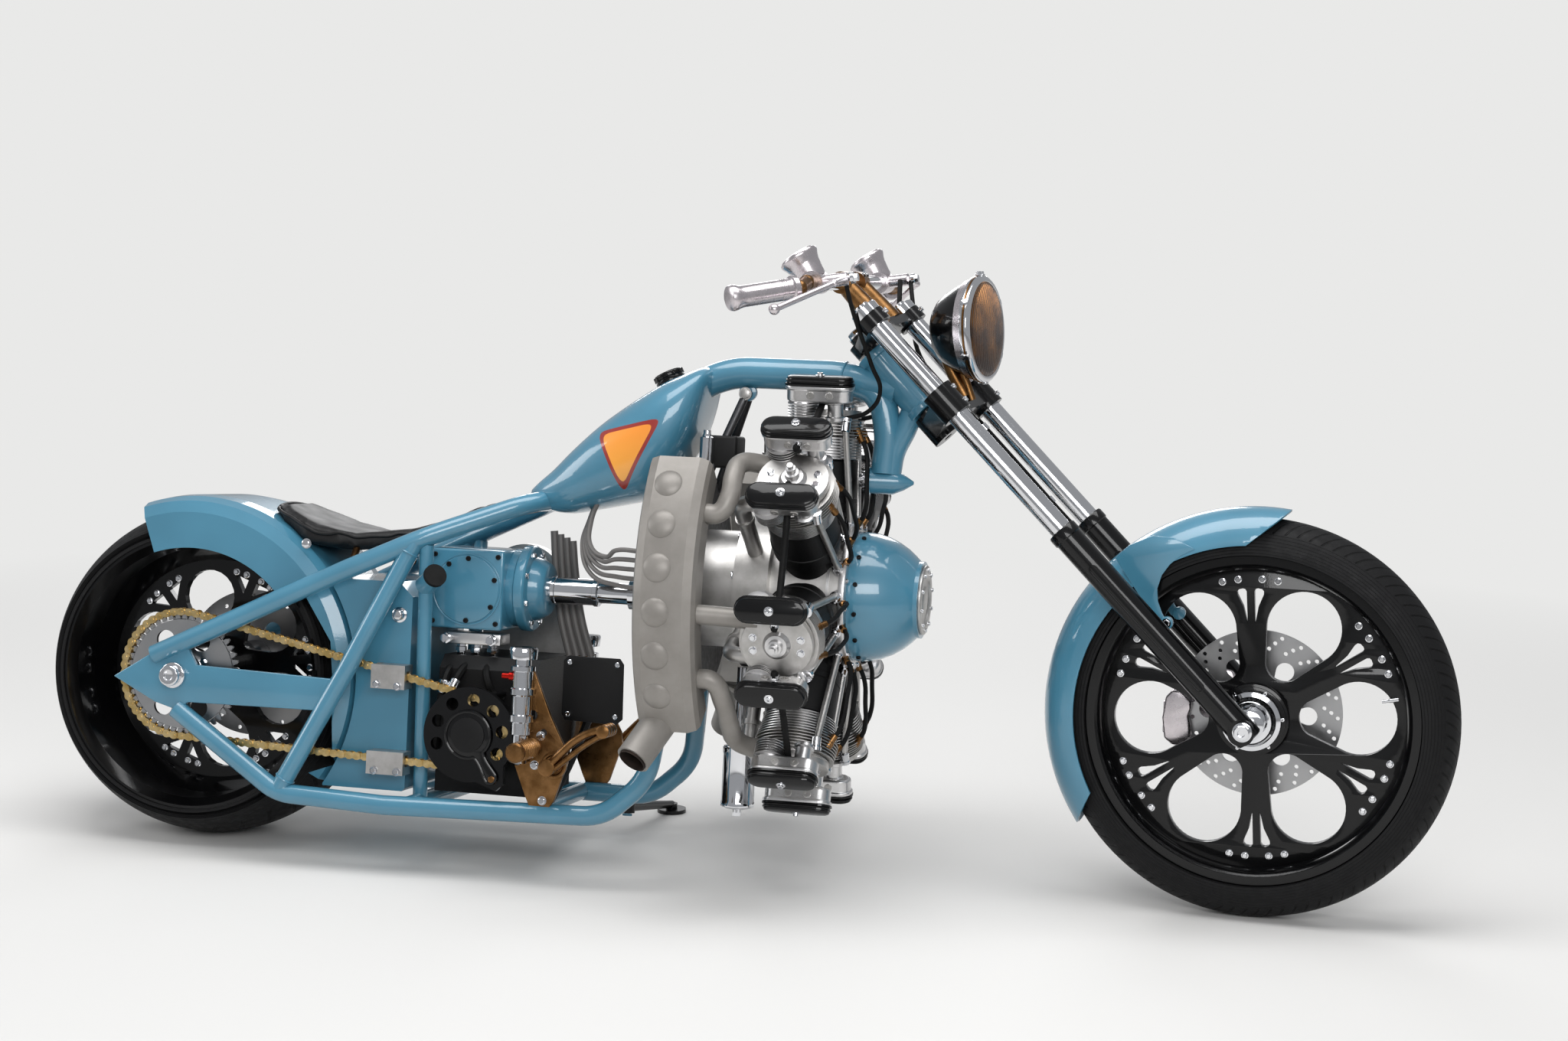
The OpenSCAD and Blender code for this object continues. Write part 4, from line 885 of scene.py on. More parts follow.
# Bumps pressed in the collectors' outer faces
bumps = [shift(1005, 0, CRANK_Z) @ turn(-side * (59.5 + 11.6 * i), "X") @ shift(0, 0, 395.5)
         for side in (-1, 1) for i in range(6)]
bump_cap = turned([(-4, 27), (0, 27), (2.6, 24.6), (5.8, 19.5), (8, 13), (9.2, 6.5), (9.6, 1.2)], 40)
fit(spread(bump_cap, bumps), "collector_bumps", BIKE, "chassis", exhaust_coat, smooth=80)

# ---------------------------------------------------------------- gearbox and chain

SHAFT_LINE = BIKE @ shift(0, 0, GEARBOX_Z + 4) @ AHEAD

# Gearbox: its box, round covers, and the flange that drives the shaft
box = block((151, 180, 154), (GEARBOX_X - 3.5, 0, GEARBOX_Z), 5, 3)
fit(box, "gearbox_body", BIKE, "chassis", teal_enamel)
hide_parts("gearbox")
lid = soften(turned([(89, 70), (92.6, 70), (92.8, 67.5), (91.8, 66.6), (91.8, 65.6), (94, 64.5), (94, 20)],
                    80), 0.5)
fit(spread(lid, [shift(GEARBOX_X, 0, GEARBOX_Z) @ OUTWARD[side] for side in (-1, 1)]), "gearbox_covers",
    BIKE, "chassis", teal_enamel)
collar = soften(turned([(614, 70), (616, 76), (632, 76), (634, 79), (636, 84), (652, 84), (656, 80),
                        (657, 62), (672, 57), (684, 50), (686, 47), (686, 30)], 80), 1.0)
fit(collar, "gearbox_output_flange", SHAFT_LINE, "chassis", teal_enamel)
screw_places = [shift(x, -90, z) @ SIDE for x in (478, 606) for z in (459, 588)]
cover_screws = [on_circle(GEARBOX_X, GEARBOX_Z, 60, a) for a in (88, 20, -32, -88, 128)]
screw_places += [shift(x, -94, z) @ SIDE for x, z in cover_screws]
fit(spread(socket_screw(5, 3.4), screw_places), "gearbox_screws", BIKE, "chassis", black_satin)
flange_bolts = spread(hex_bolt(5.5, 5), ring_of(8, 70, 22, 656.4))
fit(flange_bolts, "output_flange_bolts", SHAFT_LINE, "chassis", chrome)
shaft_rings = turned([(690, 26.4), (691, 28), (699, 28), (700, 26.4)], 48)
fit(spread(shaft_rings, [shift(0, 0, 0), shift(0, 0, 86)]), "shaft_collars", SHAFT_LINE, "chassis", chrome)

# Chain: plates and rollers laid round both sprockets at their pitch
REAR_HUB = Vector((0, REAR_AXLE_Z))
gap = GEAR - REAR_HUB
slope = math.degrees(math.atan2(gap.y, gap.x))
wrap = math.degrees(math.acos((REAR_CHAIN_R - GEAR_CHAIN_R) / gap.length))
run = math.sqrt(gap.length ** 2 - (REAR_CHAIN_R - GEAR_CHAIN_R) ** 2)
rear_arc = REAR_CHAIN_R * math.radians(360 - 2 * wrap)
gear_arc = GEAR_CHAIN_R * math.radians(2 * wrap)
loop_length = 2 * run + rear_arc + gear_arc


def rear_pitch_point(degrees):
    return Vector(on_circle(*REAR_HUB, REAR_CHAIN_R, degrees))


def gear_pitch_point(degrees):
    return Vector(on_circle(*GEAR, GEAR_CHAIN_R, degrees))


def chain_point(s):
    """Place on the chain's pitch line, s millimetres along it."""
    s = s % loop_length
    if s < rear_arc:
        return rear_pitch_point(slope + wrap + math.degrees(s / REAR_CHAIN_R))
    s -= rear_arc
    if s < run:
        return rear_pitch_point(slope - wrap).lerp(gear_pitch_point(slope - wrap), s / run)
    s -= run
    if s < gear_arc:
        return gear_pitch_point(slope - wrap + math.degrees(s / GEAR_CHAIN_R))
    return gear_pitch_point(slope + wrap).lerp(rear_pitch_point(slope + wrap), (s - gear_arc) / run)


links = 2 * round(loop_length / CHAIN_PITCH / 2)
link_pitch = loop_length / links
link_end = round_outline(link_pitch / 2, 0, 7.6, 6, -105, 210) + [(0, 4.9)]
LINK_PLATE = link_end + [(-x, -y) for x, y in link_end]
inner = joined([outline_plate(LINK_PLATE, 4.2, 6.2), outline_plate(LINK_PLATE, -6.2, -4.2)])
outer = joined([outline_plate(LINK_PLATE, 6.5, 8.4), outline_plate(LINK_PLATE, -8.4, -6.5)])
pin = turned([(-9.4, 3.2), (9.4, 3.2)], 8)
roller = turned([(-4.4, 5.1), (4.4, 5.1)], 10)
inner_places, outer_places, pin_places = [], [], []
for i in range(links):
    a, b = chain_point(i * link_pitch), chain_point((i + 1) * link_pitch)
    middle = (a + b) / 2
    facing = math.degrees(math.atan2(b.y - a.y, b.x - a.x))
    where = shift(middle.x, -CHAIN_Y, middle.y) @ SIDE @ turn(facing, "Z")
    (inner_places if i % 2 else outer_places).append(where)
    pin_places.append(shift(a.x, -CHAIN_Y, a.y) @ SIDE)
chain = joined([spread(inner, inner_places), spread(outer, outer_places), spread(pin, pin_places),
                spread(roller, pin_places)])
fit(chain, "roller_chain", BIKE, "chassis", chain_gold)
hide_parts("drive_chain")
guide_bolts = [shift(x, -192.5, z) @ SIDE for x, z in ((408, 338), (450, 336), (410, 173), (456, 173))]
fit(spread(hex_bolt(6.5, 5), guide_bolts), "chain_guide_bolts", BIKE, "chassis", chrome)

# Sprocket cover: a raised spine round its shaft, a boss and a bolt
keyhole = round_outline(*GEAR, 44, 40, -43.5, 331) + round_outline(648, 178, 11, 12, -148, 180)
ridge = pipe([(x, y, 204) for x, y in keyhole], 3.4, 12, closed=True)
spine = joined([soften(outline_plate(keyhole, 200, 205), 1.2), ridge])
fit(spine, "sprocket_cover_spine", BIKE @ SIDE, "chassis", black_gloss)
boss = soften(outline_plate(round_outline(*GEAR, 33, 48), 204, 208.5), 1.6)
fit(boss, "sprocket_cover_boss", BIKE @ SIDE, "chassis", black_satin)
fit(hex_bolt(7.5, 7), "sprocket_cover_bolt", BIKE @ shift(651, -200, 174) @ SIDE, "chassis", bronze)

# Valve block under the gearbox, with its hoses
valve = block((112, 60, 22), (562, -62, 428), 2.5)
fit(valve, "valve_block", BIKE, "chassis", milled_aluminium)
unions = [shift(x, -92, 428) @ SIDE for x in (512, 604)]
unions += [shift(x, -64, 417) @ turn(180, "X") for x in (530, 560, 594)]
union = turned([(-2, 9), (6, 9), (7, 11), (15, 11), (16, 8), (26, 8)], 6)
fit(spread(union, unions), "valve_unions", BIKE, "chassis", chrome)
VALVE_HOSES = (
    (8, [(530, -64, 396), (529, -80, 380), (526, -128, 362), (520, -136, 320), (514, -132, 262),
         (506, -128, 210)]),
    (8, [(560, -64, 396), (558, -84, 384), (552, -130, 364), (543, -140, 338), (532, -138, 300),
         (526, -134, 262)]),
    (7, [(594, -64, 396), (597, -84, 384), (604, -126, 366), (612, -134, 348), (620, -128, 330),
         (640, -122, 318)]),
)
hoses = [pipe(path, radius, 14) for radius, path in VALVE_HOSES]
fit(joined(hoses), "valve_hoses", BIKE, "chassis", rubber)
ferrules = [aim((524, -132, 350), (520, -136, 320)), aim((548, -136, 352), (543, -140, 338))]
ferrule = turned([(0, 9), (2, 10.5), (24, 10.5), (26, 9)], 20)
fit(spread(ferrule, ferrules), "hose_ferrules", BIKE, "chassis", chrome)
tank_bolt = soften(turned([(-2, 12), (2, 15), (5, 15), (6, 11), (14, 11), (18, 8)], 32), 0.6)
fit(tank_bolt, "oil_tank_bolt", BIKE @ shift(434, -150, 470) @ SIDE, "chassis", chrome)

# ---------------------------------------------------------------- frame tubes

UPPER_RAIL = [(-46, 205, 366), (108, 205, 440), (332, 190, 551), (488, 160, 625), (655, 75, 695),
              (694, 8, 705)]
LOWER_RAIL = [(5, 205, 265), (221, 205, 118), (435, 200, 109), (735, 180, 114), (862, 175, 116),
              (944, 170, 190), (968, 122, 420)]
DIAGONAL = [(225, 205, 126), (355, 205, 370), (462, 165, 611)]
AXLE_PLATE = [(-127, 320), (-46, 372), (20, 396), (45, 352), (328, 343), (305, 281), (30, 279), (10, 262),
              (-40, 276)]


def weld_ring(radius, thick=2.2):
    """The bead of a weld round a tube."""
    return turned([(-thick, radius - 0.5), (-thick * 0.6, radius + thick * 0.7), (0, radius + thick),
                   (thick * 0.6, radius + thick * 0.7), (thick, radius - 0.5)], 40)


# Each half of the frame: two rails, a diagonal, the plate at the axle and a lug at the engine
for side, node in ((-1, "right_frame"), (1, "left_frame")):
    tubes = [pipe(mirrored(bent(path, reach), side), radius, 28, smooth=False)
             for path, reach, radius in ((UPPER_RAIL, 420, 19), (LOWER_RAIL, 105, 19), (DIAGONAL, 300, 18))]
    plate = moved(soften(outline_plate(AXLE_PLATE, -6, 6), 2.2, 3), shift(0, side * RAIL_Y, 0) @ SIDE)
    lug = moved(soften(turned([(940, 25), (988, 25)], 48), 2.5), shift(0, side * 122, 420) @ AHEAD)
    foot, knee, top = [Vector(p) for p in mirrored(DIAGONAL, side)]
    welds = [moved(weld_ring(18), aim(end.lerp(knee, 0.085), knee)) for end in (foot, top)]
    rails = joined(tubes + [plate, lug] + welds)
    fit(rails, node + "_tubes", BIKE, "chassis", teal_enamel)
    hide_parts(node)

# Backbone, its web and lug, the down tube with its tip, and the steering neck
BACKBONE = [(880, 0, 864), (985, 0, 948), (1040, 0, 966), (1240, 0, 966), (1352, 0, 944)]
neck_low = BIKE.inverted() @ NECK @ Vector((0, 0, 858))
spine_tubes = [
    pipe(bent(BACKBONE, 260), 30, 36, smooth=False),
    pipe([(700, 0, 706), (900, 0, 880)], 17, 24, smooth=False),
    pipe([(1262, 0, 958), (1312, 0, 936), (1337, 0, 872), (1336, 0, 786)], 27, 36),
    pipe([neck_low, (1372, 0, 872), (1352, 0, 826), (1346, 0, 786)], 22, 32),
]
tip_rings = [(1302, 21), (1303, 27), (1310, 27), (1311, 23.5), (1354, 23.5), (1374, 15), (1393, 3)]
tip = moved(soften(turned(tip_rings, 48), 0.8), shift(0, 0, 770) @ AHEAD)
lug = moved(soften(turned([(-7, 17), (7, 17)], 32), 1.5), shift(1063, 0, 928) @ SIDE)
web = block((26, 11, 24), (1063, 0, 940), 2)
spine = joined(spine_tubes + [tip, lug, web])
fit(spine, "backbone_tubes", BIKE, "chassis", teal_enamel)
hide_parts("neck_and_backbone")
neck = soften(turned([(832, 33), (833, 36), (846, 36), (848, 32), (966, 32), (968, 36), (982, 36),
                      (983, 33)], 56), 0.8)
fit(neck, "steering_neck", NECK, "chassis", teal_enamel)
tip_bolt = turned([(1288, 9), (1289, 13), (1296, 13), (1297, 19), (1302, 19)], 24)
fit(tip_bolt, "down_tube_bolt", BIKE @ shift(0, 0, 770) @ AHEAD, "chassis", chrome)
fit(hex_bolt(10, 6), "engine_strut_bolt", BIKE @ shift(1063, -24.5, 925) @ SIDE, "chassis", cast_aluminium)
tube_bands = spread(weld_ring(30, 2.4), [aim((1240, 0, 966), (1300, 0, 954)) @ shift(0, 0, 8)])
fit(tube_bands, "backbone_weld", BIKE, "chassis", teal_enamel)

# ---------------------------------------------------------------- fork, bars and lamp

# Fork legs: caps, seals, flutes and feet, and the screws that pinch the trees
LEGS = [shift(-LEG_BACK, side * LEG_Y, 0) for side in (-1, 1)]
cap_rings = [(1014.5, 22), (1015, 27), (1030, 27.5), (1032, 26), (1032.6, 15), (1038, 15), (1039, 13.5),
             (1039, 7), (1036, 6)]
fit(spread(turned(cap_rings, 40), LEGS), "fork_caps", FORK, "front_end", chrome)
seal = turned([(464, 26.2), (466, 28.2), (482, 28.2), (485, 26.5), (486, 21)], 48)
fit(spread(seal, LEGS), "fork_seals", FORK, "front_end", black_gloss)
flute_outline = slot_outline(300, 9, 10)
flute = soften(outline_plate([(y, x) for x, y in flute_outline], 24.2, 26.9,
                             holes=[[(y * 0.62, x * 0.985) for x, y in flute_outline]]), 0.6)
flutes = [where @ shift(0, 0, 250) @ turn(side, "Z") @ turn(90, "X") for where in LEGS for side in (0, 180)]
fit(spread(flute, flutes), "slider_flutes", FORK, "front_end", black_gloss)
foot_ring = turned([(-22, 18), (-20, 24), (-6, 26.4), (-4, 26.4), (-3, 25)], 40)
fit(spread(foot_ring, LEGS), "slider_feet", FORK, "front_end", black_gloss)
pinch = [shift(22, side * LEG_Y, z) @ AHEAD for side in (-1, 1) for z in (780, 812, 1001)]
fit(spread(socket_screw(5.5, 6), pinch), "tree_pinch_screws", FORK, "front_end", chrome)
stem_nut = joined([turned([(1025, 17), (1026, 19), (1029, 19), (1029, 16)], 32),
                   turned([(1028, 16), (1036, 16), (1038, 13.5), (1038, 4)], 6)])
fit(stem_nut, "stem_nut", FORK @ shift(-STEER_ARM, 0, 0), "front_end", chrome)

# Handlebar: sleeves, riser bolts, turned grips and fluid reservoirs
sleeve = turned([(72, 13), (72.4, 14.4), (202, 14.4), (202.4, 13)], 32)
fit(spread(sleeve, [shift(-17, 0, 1110) @ end for end in (SIDE, LEFT_SIDE)]), "bar_sleeves", FORK,
    "front_end", chrome)
clamp_bolts = [shift(-17, side * y, 1110) @ AHEAD @ shift(0, 0, 19) for side in (-1, 1) for y in (40, 60)]
fit(spread(socket_screw(5, 6), clamp_bolts), "riser_bolts", FORK, "front_end", chrome)
BAR_ENDS = [aim((-24, side * 330, 1104), (-106, side * 420, 1156)) for side in (-1, 1)]
grip_rings = [(6, 15), (7, 22), (9, 23.5), (17, 23.5), (19, 22), (20, 19.3)]
for i in range(3):
    grip_rings += [(30 + i * 4, 19.3), (30.6 + i * 4, 18.4), (32.4 + i * 4, 18.4), (33 + i * 4, 19.3)]
grip_rings += [(112, 19.6), (122, 20.6), (128, 23), (134, 23.6), (140, 22), (142, 18), (143, 6)]
hand_grips = spread(turned(grip_rings, 48), BAR_ENDS)
fit(hand_grips, "turned_grips", FORK, "front_end", polished_aluminium)
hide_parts("grips")
bell = turned([(-3, 17), (-2, 25), (2, 27), (14, 27.6), (26, 29.5), (36, 33), (43, 36.6), (47, 37.4),
               (49, 36.6), (50, 34), (52, 33), (53, 30), (53, 4)], 56)
RESERVOIRS = [aim((-17, side * 234, 1118), (-9, side * 234, 1168)) for side in (-1, 1)]
bells = spread(bell, RESERVOIRS)
fit(bells, "fluid_reservoirs", FORK, "front_end", polished_aluminium)
lid_screws = [where @ shift(0, x, 53) for where in RESERVOIRS for x in (-20, 20)]
fit(spread(socket_screw(3, 2), lid_screws), "reservoir_screws", FORK, "front_end", black_satin)
banjos = [shift(29, side * 223, 1076) @ turn(125, "Y") for side in (-1, 1)]
banjo = joined([turned([(6, 8), (7, 10.5), (13, 10.5), (14, 8)], 24),
                turned([(13, 8), (20, 8), (21, 6.5)], 6)])
fit(spread(banjo, banjos), "banjo_bolts", FORK, "front_end", chrome)

TO_BIKE = BIKE.inverted() @ FORK


def steering_cable(name, fork_points, bike_points, radius):
    """A cable held at the bars and again on the frame, laid where the bars stand now."""
    path = [TO_BIKE @ Vector(p) for p in fork_points] + [Vector(p) for p in bike_points]
    cable = pipe(path, radius, 12)
    own_mesh(cable, name, BIKE, rubber, 40)
    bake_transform(cable)


for name, side, radius in (("throttle_cable", -1, 4.2), ("clutch_hose", 1, 4.8)):
    at_bars = mirrored([(20, 200, 1082), (-8, 176, 1046)], side)
    at_frame = mirrored([(1322, 110, 985), (1335, 82, 940), (1312, 62, 902), (1262, 56, 884)], side)
    steering_cable(name, at_bars, at_frame, radius)

# Brake hose down the left leg
hose = pipe([(30, 222, 1070), (8, 196, 1030), (-46, 168, 940), (-44, 168, 760), (-44, 164, 560),
             (-44, 156, 380), (-56, 130, 240), (-80, 92, 150), (-84, 76, 118)], 4.6, 12)
fit(hose, "front_brake_hose", FORK, "front_end", rubber)
clips = [aim((-45, 168, z), (-45, 168, z - 50)) for z in (752, 560)]
clip = turned([(-8, 5), (-7, 7.6), (7, 7.6), (8, 5)], 20)
fit(spread(clip, clips), "brake_hose_clips", FORK, "front_end", chrome)

# Headlamp: shell, bracket, bands, bezel and lens
shell = turned([(-93, 9.2), (-92, 31.2), (-88, 45.2), (-78, 59.2), (-62, 71.2), (-44, 81.7), (-28, 88.7),
                (-16, 92.7), (-15, 60)], 72)
fit(shell, "lamp_shell", LAMP, "front_end", black_gloss, smooth=60)
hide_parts("headlamp")
mount = joined([pipe([(-566, 0, 566), (-600, 0, 628), (-610, 0, 668)], 12, 24),
                pipe([(-552, 0, 560), (-572, 0, 612), (-590, 0, 652)], 8, 20)])
fit(mount, "lamp_bracket", FRONT, "front_end", bronze)
band = turned([(-24, 86), (-23.5, 92.5), (-9, 97), (-8.5, 90)], 80)
fit(band, "lamp_band", LAMP, "front_end", polished_aluminium)
bezel = soften(turned([(-9, 92), (-9, 99.5), (-3, 100.6), (-2.6, 98.6), (1, 98.6), (1.4, 100.6), (5, 100),
                       (9, 96), (10.5, 90), (8, 87)], 96), 0.5)
fit(bezel, "lamp_bezel", LAMP, "front_end", chrome)
copper_band = turned([(-2.4, 99), (-2.2, 101), (0.8, 101), (1, 99)], 96)
fit(copper_band, "lamp_copper_band", LAMP, "front_end", bronze)
glass = turned([(7.5, 89), (10, 88.4), (12.5, 80), (14.5, 66), (16, 48), (16.8, 28), (17, 8)], 72)
fit(glass, "lamp_lens", LAMP, "front_end", amber_glass, smooth=60)
lamp_clips = [turn(a, "Z") @ shift(101, 0, -1) for a in (0, 60, 120, 180, 240, 300)]
fit(spread(block((4.5, 12, 16), (0, 0, 0), 1.2), lamp_clips), "lamp_clips", LAMP, "front_end", chrome)
top_bolt = spread(socket_screw(5, 7), [turn(180, "Z") @ shift(101, y, -1) @ AHEAD for y in (-7, 7)])
fit(top_bolt, "lamp_top_bolts", LAMP, "front_end", chrome)

# ---------------------------------------------------------------- wheel fittings


def wheel_bolts(radius, phase, height):
    """Four places to each of six spokes."""
    return [turn(phase + 60 * i + a, "Z") @ shift(radius, 0, height) for i in range(6)
            for a in (-11.34, -4.89, 4.89, 11.34)]


# Rim bolts, hubs, disc screws, tyre valve and axle nut
rim_bolt = joined([turned([(-1, 4), (0, 6.8), (1, 6.8), (1.4, 5)], 20),
                   turned([(1, 5.2), (4.5, 5.2), (5.4, 4.2)], 6)])
front_bolts = [SIDE @ where for where in wheel_bolts(257, 34, 9)]
front_bolts += [LEFT_SIDE @ where for where in wheel_bolts(257, -34, 9)]
fit(spread(copy_of(rim_bolt, Matrix.Identity(4)), front_bolts), "front_rim_bolts", FRONT, "front_wheel",
    chrome)
rear_bolts = [SIDE @ where for where in wheel_bolts(198, 9, 15)]
rear_bolts += [LEFT_SIDE @ where for where in wheel_bolts(198, -9, 3)]
fit(spread(rim_bolt, rear_bolts), "rear_rim_bolts", REAR, "rear_wheel", chrome)
hub_shell = turned([(24, 64), (26, 66), (30, 66), (32, 60), (34, 60), (35, 62), (40, 62), (42, 55)], 64)
fit(hub_shell, "front_hub_shell", FRONT_SIDE, "front_wheel", black_gloss)
hub_rings = turned([(42, 55), (46, 52), (47, 54), (52, 54), (54, 46), (60, 42), (64, 40), (66, 38), (66, 27),
                    (92, 27), (93, 29), (98, 29), (100, 26)], 64)
fit(hub_rings, "front_hub_rings", FRONT_SIDE, "front_wheel", chrome)
hub_screws = spread(socket_screw(3.6, 3), ring_of(6, 57, 6, 40.5))
fit(hub_screws, "front_hub_screws", FRONT_SIDE, "front_wheel", chrome)
rear_hub = turned([(58, 58), (60, 62), (66, 62), (68, 52), (90, 48), (120, 46), (122, 49), (128, 49),
                   (130, 46)], 64)
fit(rear_hub, "rear_hub_rings", REAR_SIDE, "rear_wheel", black_gloss)
carrier_screws = [LEFT_SIDE @ where for where in ring_of(6, 52, 30, 63)]
fit(spread(socket_screw(4, 4), carrier_screws), "front_disc_screws", FRONT, "front_wheel", chrome)
stem = turned([(250, 3.2), (262, 3.2), (264, 4.2), (272, 4.2), (280, 4.2)], 14)
fit(stem, "front_tyre_valve", FRONT @ turn(-12, "Y") @ AHEAD @ shift(0, -14, -16), "front_wheel", chrome)
axle_nut = joined([turned([(-2, 12), (0, 17.6), (3, 17.6), (4, 15)], 40),
                   turned([(3, 14), (14, 14), (15.5, 12.5), (15.5, 7), (9, 6), (9, 0.5)], 36)])
fit(axle_nut, "front_axle_nut", FORK @ shift(0, -LEG_Y - 38, 0) @ SIDE, "front_end", chrome)

# ---------------------------------------------------------------- foot controls and the black plate

LINK = [(690, 386), (697, 394), (713, 394), (720, 386), (757, 300), (790, 238), (794, 214), (786, 190),
        (770, 140), (758, 122), (742, 116), (726, 120), (712, 150), (698, 184), (686, 214), (690, 250),
        (700, 300)]
# Each side has a plate with its pedal, a ribbed peg, a toe piece and a master cylinder
for side, node in ((-1, "right_foot_controls"), (1, "left_foot_controls")):
    holes = [round_outline(722, 300, 9, 20), round_outline(744, 268, 7, 20)]
    plate = soften(outline_plate(LINK, -5, 5, holes=holes), 1.8, 3)
    moved(plate, shift(0, side * CONTROL_Y, 0) @ SIDE)
    boss = soften(turned([(3, 25), (12, 25), (12, 19), (9, 18), (9, 10), (14, 9), (14, 3)], 40), 0.8)
    moved(boss, shift(769, side * CONTROL_Y, 209) @ OUTWARD[side])
    bend_path = mirrored([(769, 236, 209), (790, 238, 232), (826, 241, 266), (860, 244, 284),
                          (892, 246, 292)], side)
    second_path = mirrored([(769, 236, 196), (800, 238, 222), (836, 241, 252), (866, 244, 272),
                            (892, 246, 284)], side)
    bend, second = pipe(bend_path, 8, 20), pipe(second_path, 5.5, 16)
    pivot = turned([(0, 13), (52, 13), (54, 16), (60, 16), (61, 12)], 32)
    moved(pivot, shift(769, side * (CONTROL_Y - 2), 209) @ OUTWARD[side])
    controls = joined([plate, boss, bend, second, pivot])
    fit(controls, node.replace("controls", "plate_and_pedal"), BIKE, "chassis", bronze)
    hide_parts(node)
    peg_rings = [(0, 12), (4, 19), (8, 19)]
    for i in range(9):
        peg_rings += [(10 + i * 10, 16), (16 + i * 10, 16), (17 + i * 10, 19), (19 + i * 10, 19)]
    peg = turned(peg_rings + [(104, 19), (108, 16), (109, 6)], 24)
    fit(peg, node.replace("foot_controls", "peg"), BIKE @ shift(722, side * CONTROL_Y, 238) @ OUTWARD[side],
        "chassis", bronze)
    toe_rings = [(0, 9), (2, 12.5), (8, 12.5)]
    for z in (10, 26, 42):
        toe_rings += [(z, 10.5), (z + 4, 10.5), (z + 6, 12.5), (z + 14, 12.5)]
    toe = turned(toe_rings + [(58, 9)], 24)
    fit(toe, node.replace("foot_controls", "toe_piece"), BIKE @ shift(892, side * 246, 290) @ OUTWARD[side],
        "chassis", bronze)
    body = turned([(206, 8), (210, 14), (217, 14), (220, 7), (246, 7), (248, 15), (262, 15), (264, 19),
                   (286, 19), (288, 23), (300, 23), (302, 19), (336, 19), (339, 23), (350, 23), (352, 19),
                   (382, 19), (384, 23.5), (392, 23.5), (394, 15), (404, 15), (406, 25), (424, 27),
                   (428, 25), (428, 6)], 44)
    fit(body, node.replace("foot_controls", "master_cylinder"), BIKE @ shift(704, side * 206, 0), "chassis",
        chrome)
    inlet = turned([(12, 5), (13, 8), (26, 8), (27, 5.5), (40, 5.5), (41, 3)], 16)
    fit(inlet, node.replace("foot_controls", "inlet"), BIKE @ shift(704, side * 206, 372) @ turn(-90, "Y"),
        "chassis", anodised_red)
    bolts = [shift(x, side * (CONTROL_Y + 5), z) @ OUTWARD[side]
             for x, z in ((740, 262), (730, 206), (748, 140))]
    fit(spread(hex_bolt(7, 6), bolts), node.replace("foot_controls", "plate_bolts"), BIKE, "chassis", chrome)

# Black plate outside the right controls, on its arm
slab = soften(outline_plate([(757, 300), (764, 288), (866, 285), (878, 296), (876, 400), (868, 411),
                             (766, 411), (757, 402)], 120, 124), 1.4)
fit(slab, "black_side_plate", BIKE @ SIDE, "chassis", black_satin)
slab_bolts = [shift(x, -124, z) @ SIDE for x in (770, 864) for z in (300, 399)]
fit(spread(socket_screw(5, 4), slab_bolts), "side_plate_screws", BIKE, "chassis", chrome)
slab_arm = pipe([(818, -120, 348), (818, -90, 340), (800, -70, 300), (760, -60, 200), (720, -60, 114)], 8, 16)
fit(slab_arm, "side_plate_arm", BIKE, "chassis", black_satin)

# Grey pipes from behind the shaft down beside the transmission, and loose loops of leads under the tank
pipes_down = [pipe([(668 + i * 13, 62, 640 - i * 6), (676 + i * 13, 62, 560), (690 + i * 14, 62, 470),
                    (712 + i * 15, 60, 396)], 7.5, 16) for i in range(4)]
fit(joined(pipes_down), "grey_pipes", BIKE, "chassis", grey_lead)
loops = [pipe([(778 + i * 4, -20 - i * 7, 706 + i * 3), (770 + i * 3, -40 - i * 7, 668),
               (764 + i * 6, -60 - i * 6, 620), (790 + i * 9, -80 - i * 6, 566 + i * 9),
               (850, -96 - i * 7, 548 + i * 17), (905, -104 - i * 8, 545 + i * 18)], 4.6, 12)
         for i in range(5)]
fit(joined(loops), "lead_loops", BIKE, "chassis", grey_lead)

# Behind the engine: the rear housing, the ignition box and two canisters
housing = turned([(900, 60), (902, 100), (930, 104), (934, 92), (955, 92), (958, 100), (976, 100),
                  (978, 80)], 72)
fit(housing, "rear_housing", CRANK_LINE, "chassis", cast_aluminium)
ignition_box = block((70, 74, 62), (1024, -20, 812), 6, 3)
fit(ignition_box, "ignition_box", BIKE, "chassis", black_satin)
canister = turned([(786, 9), (788, 13), (838, 13), (840, 9), (846, 7), (852, 7)], 28)
fit(canister, "small_canister", BIKE @ shift(1002, -64, 0), "chassis", chrome)
OIL_CANISTER = BIKE @ shift(1092, -50, 0)
oil_base = turned([(134, 14), (136, 24), (140, 32), (148, 32.5), (150, 31.5), (240, 31.5), (243, 32.5),
                   (252, 32.5), (256, 26), (258, 14)], 56)
fit(oil_base, "oil_canister_shell", OIL_CANISTER, "chassis", chrome)
drain = turned([(120, 5), (121, 9), (128, 9), (130, 6)], 6)
fit(drain, "oil_canister_drain", OIL_CANISTER, "chassis", chrome)

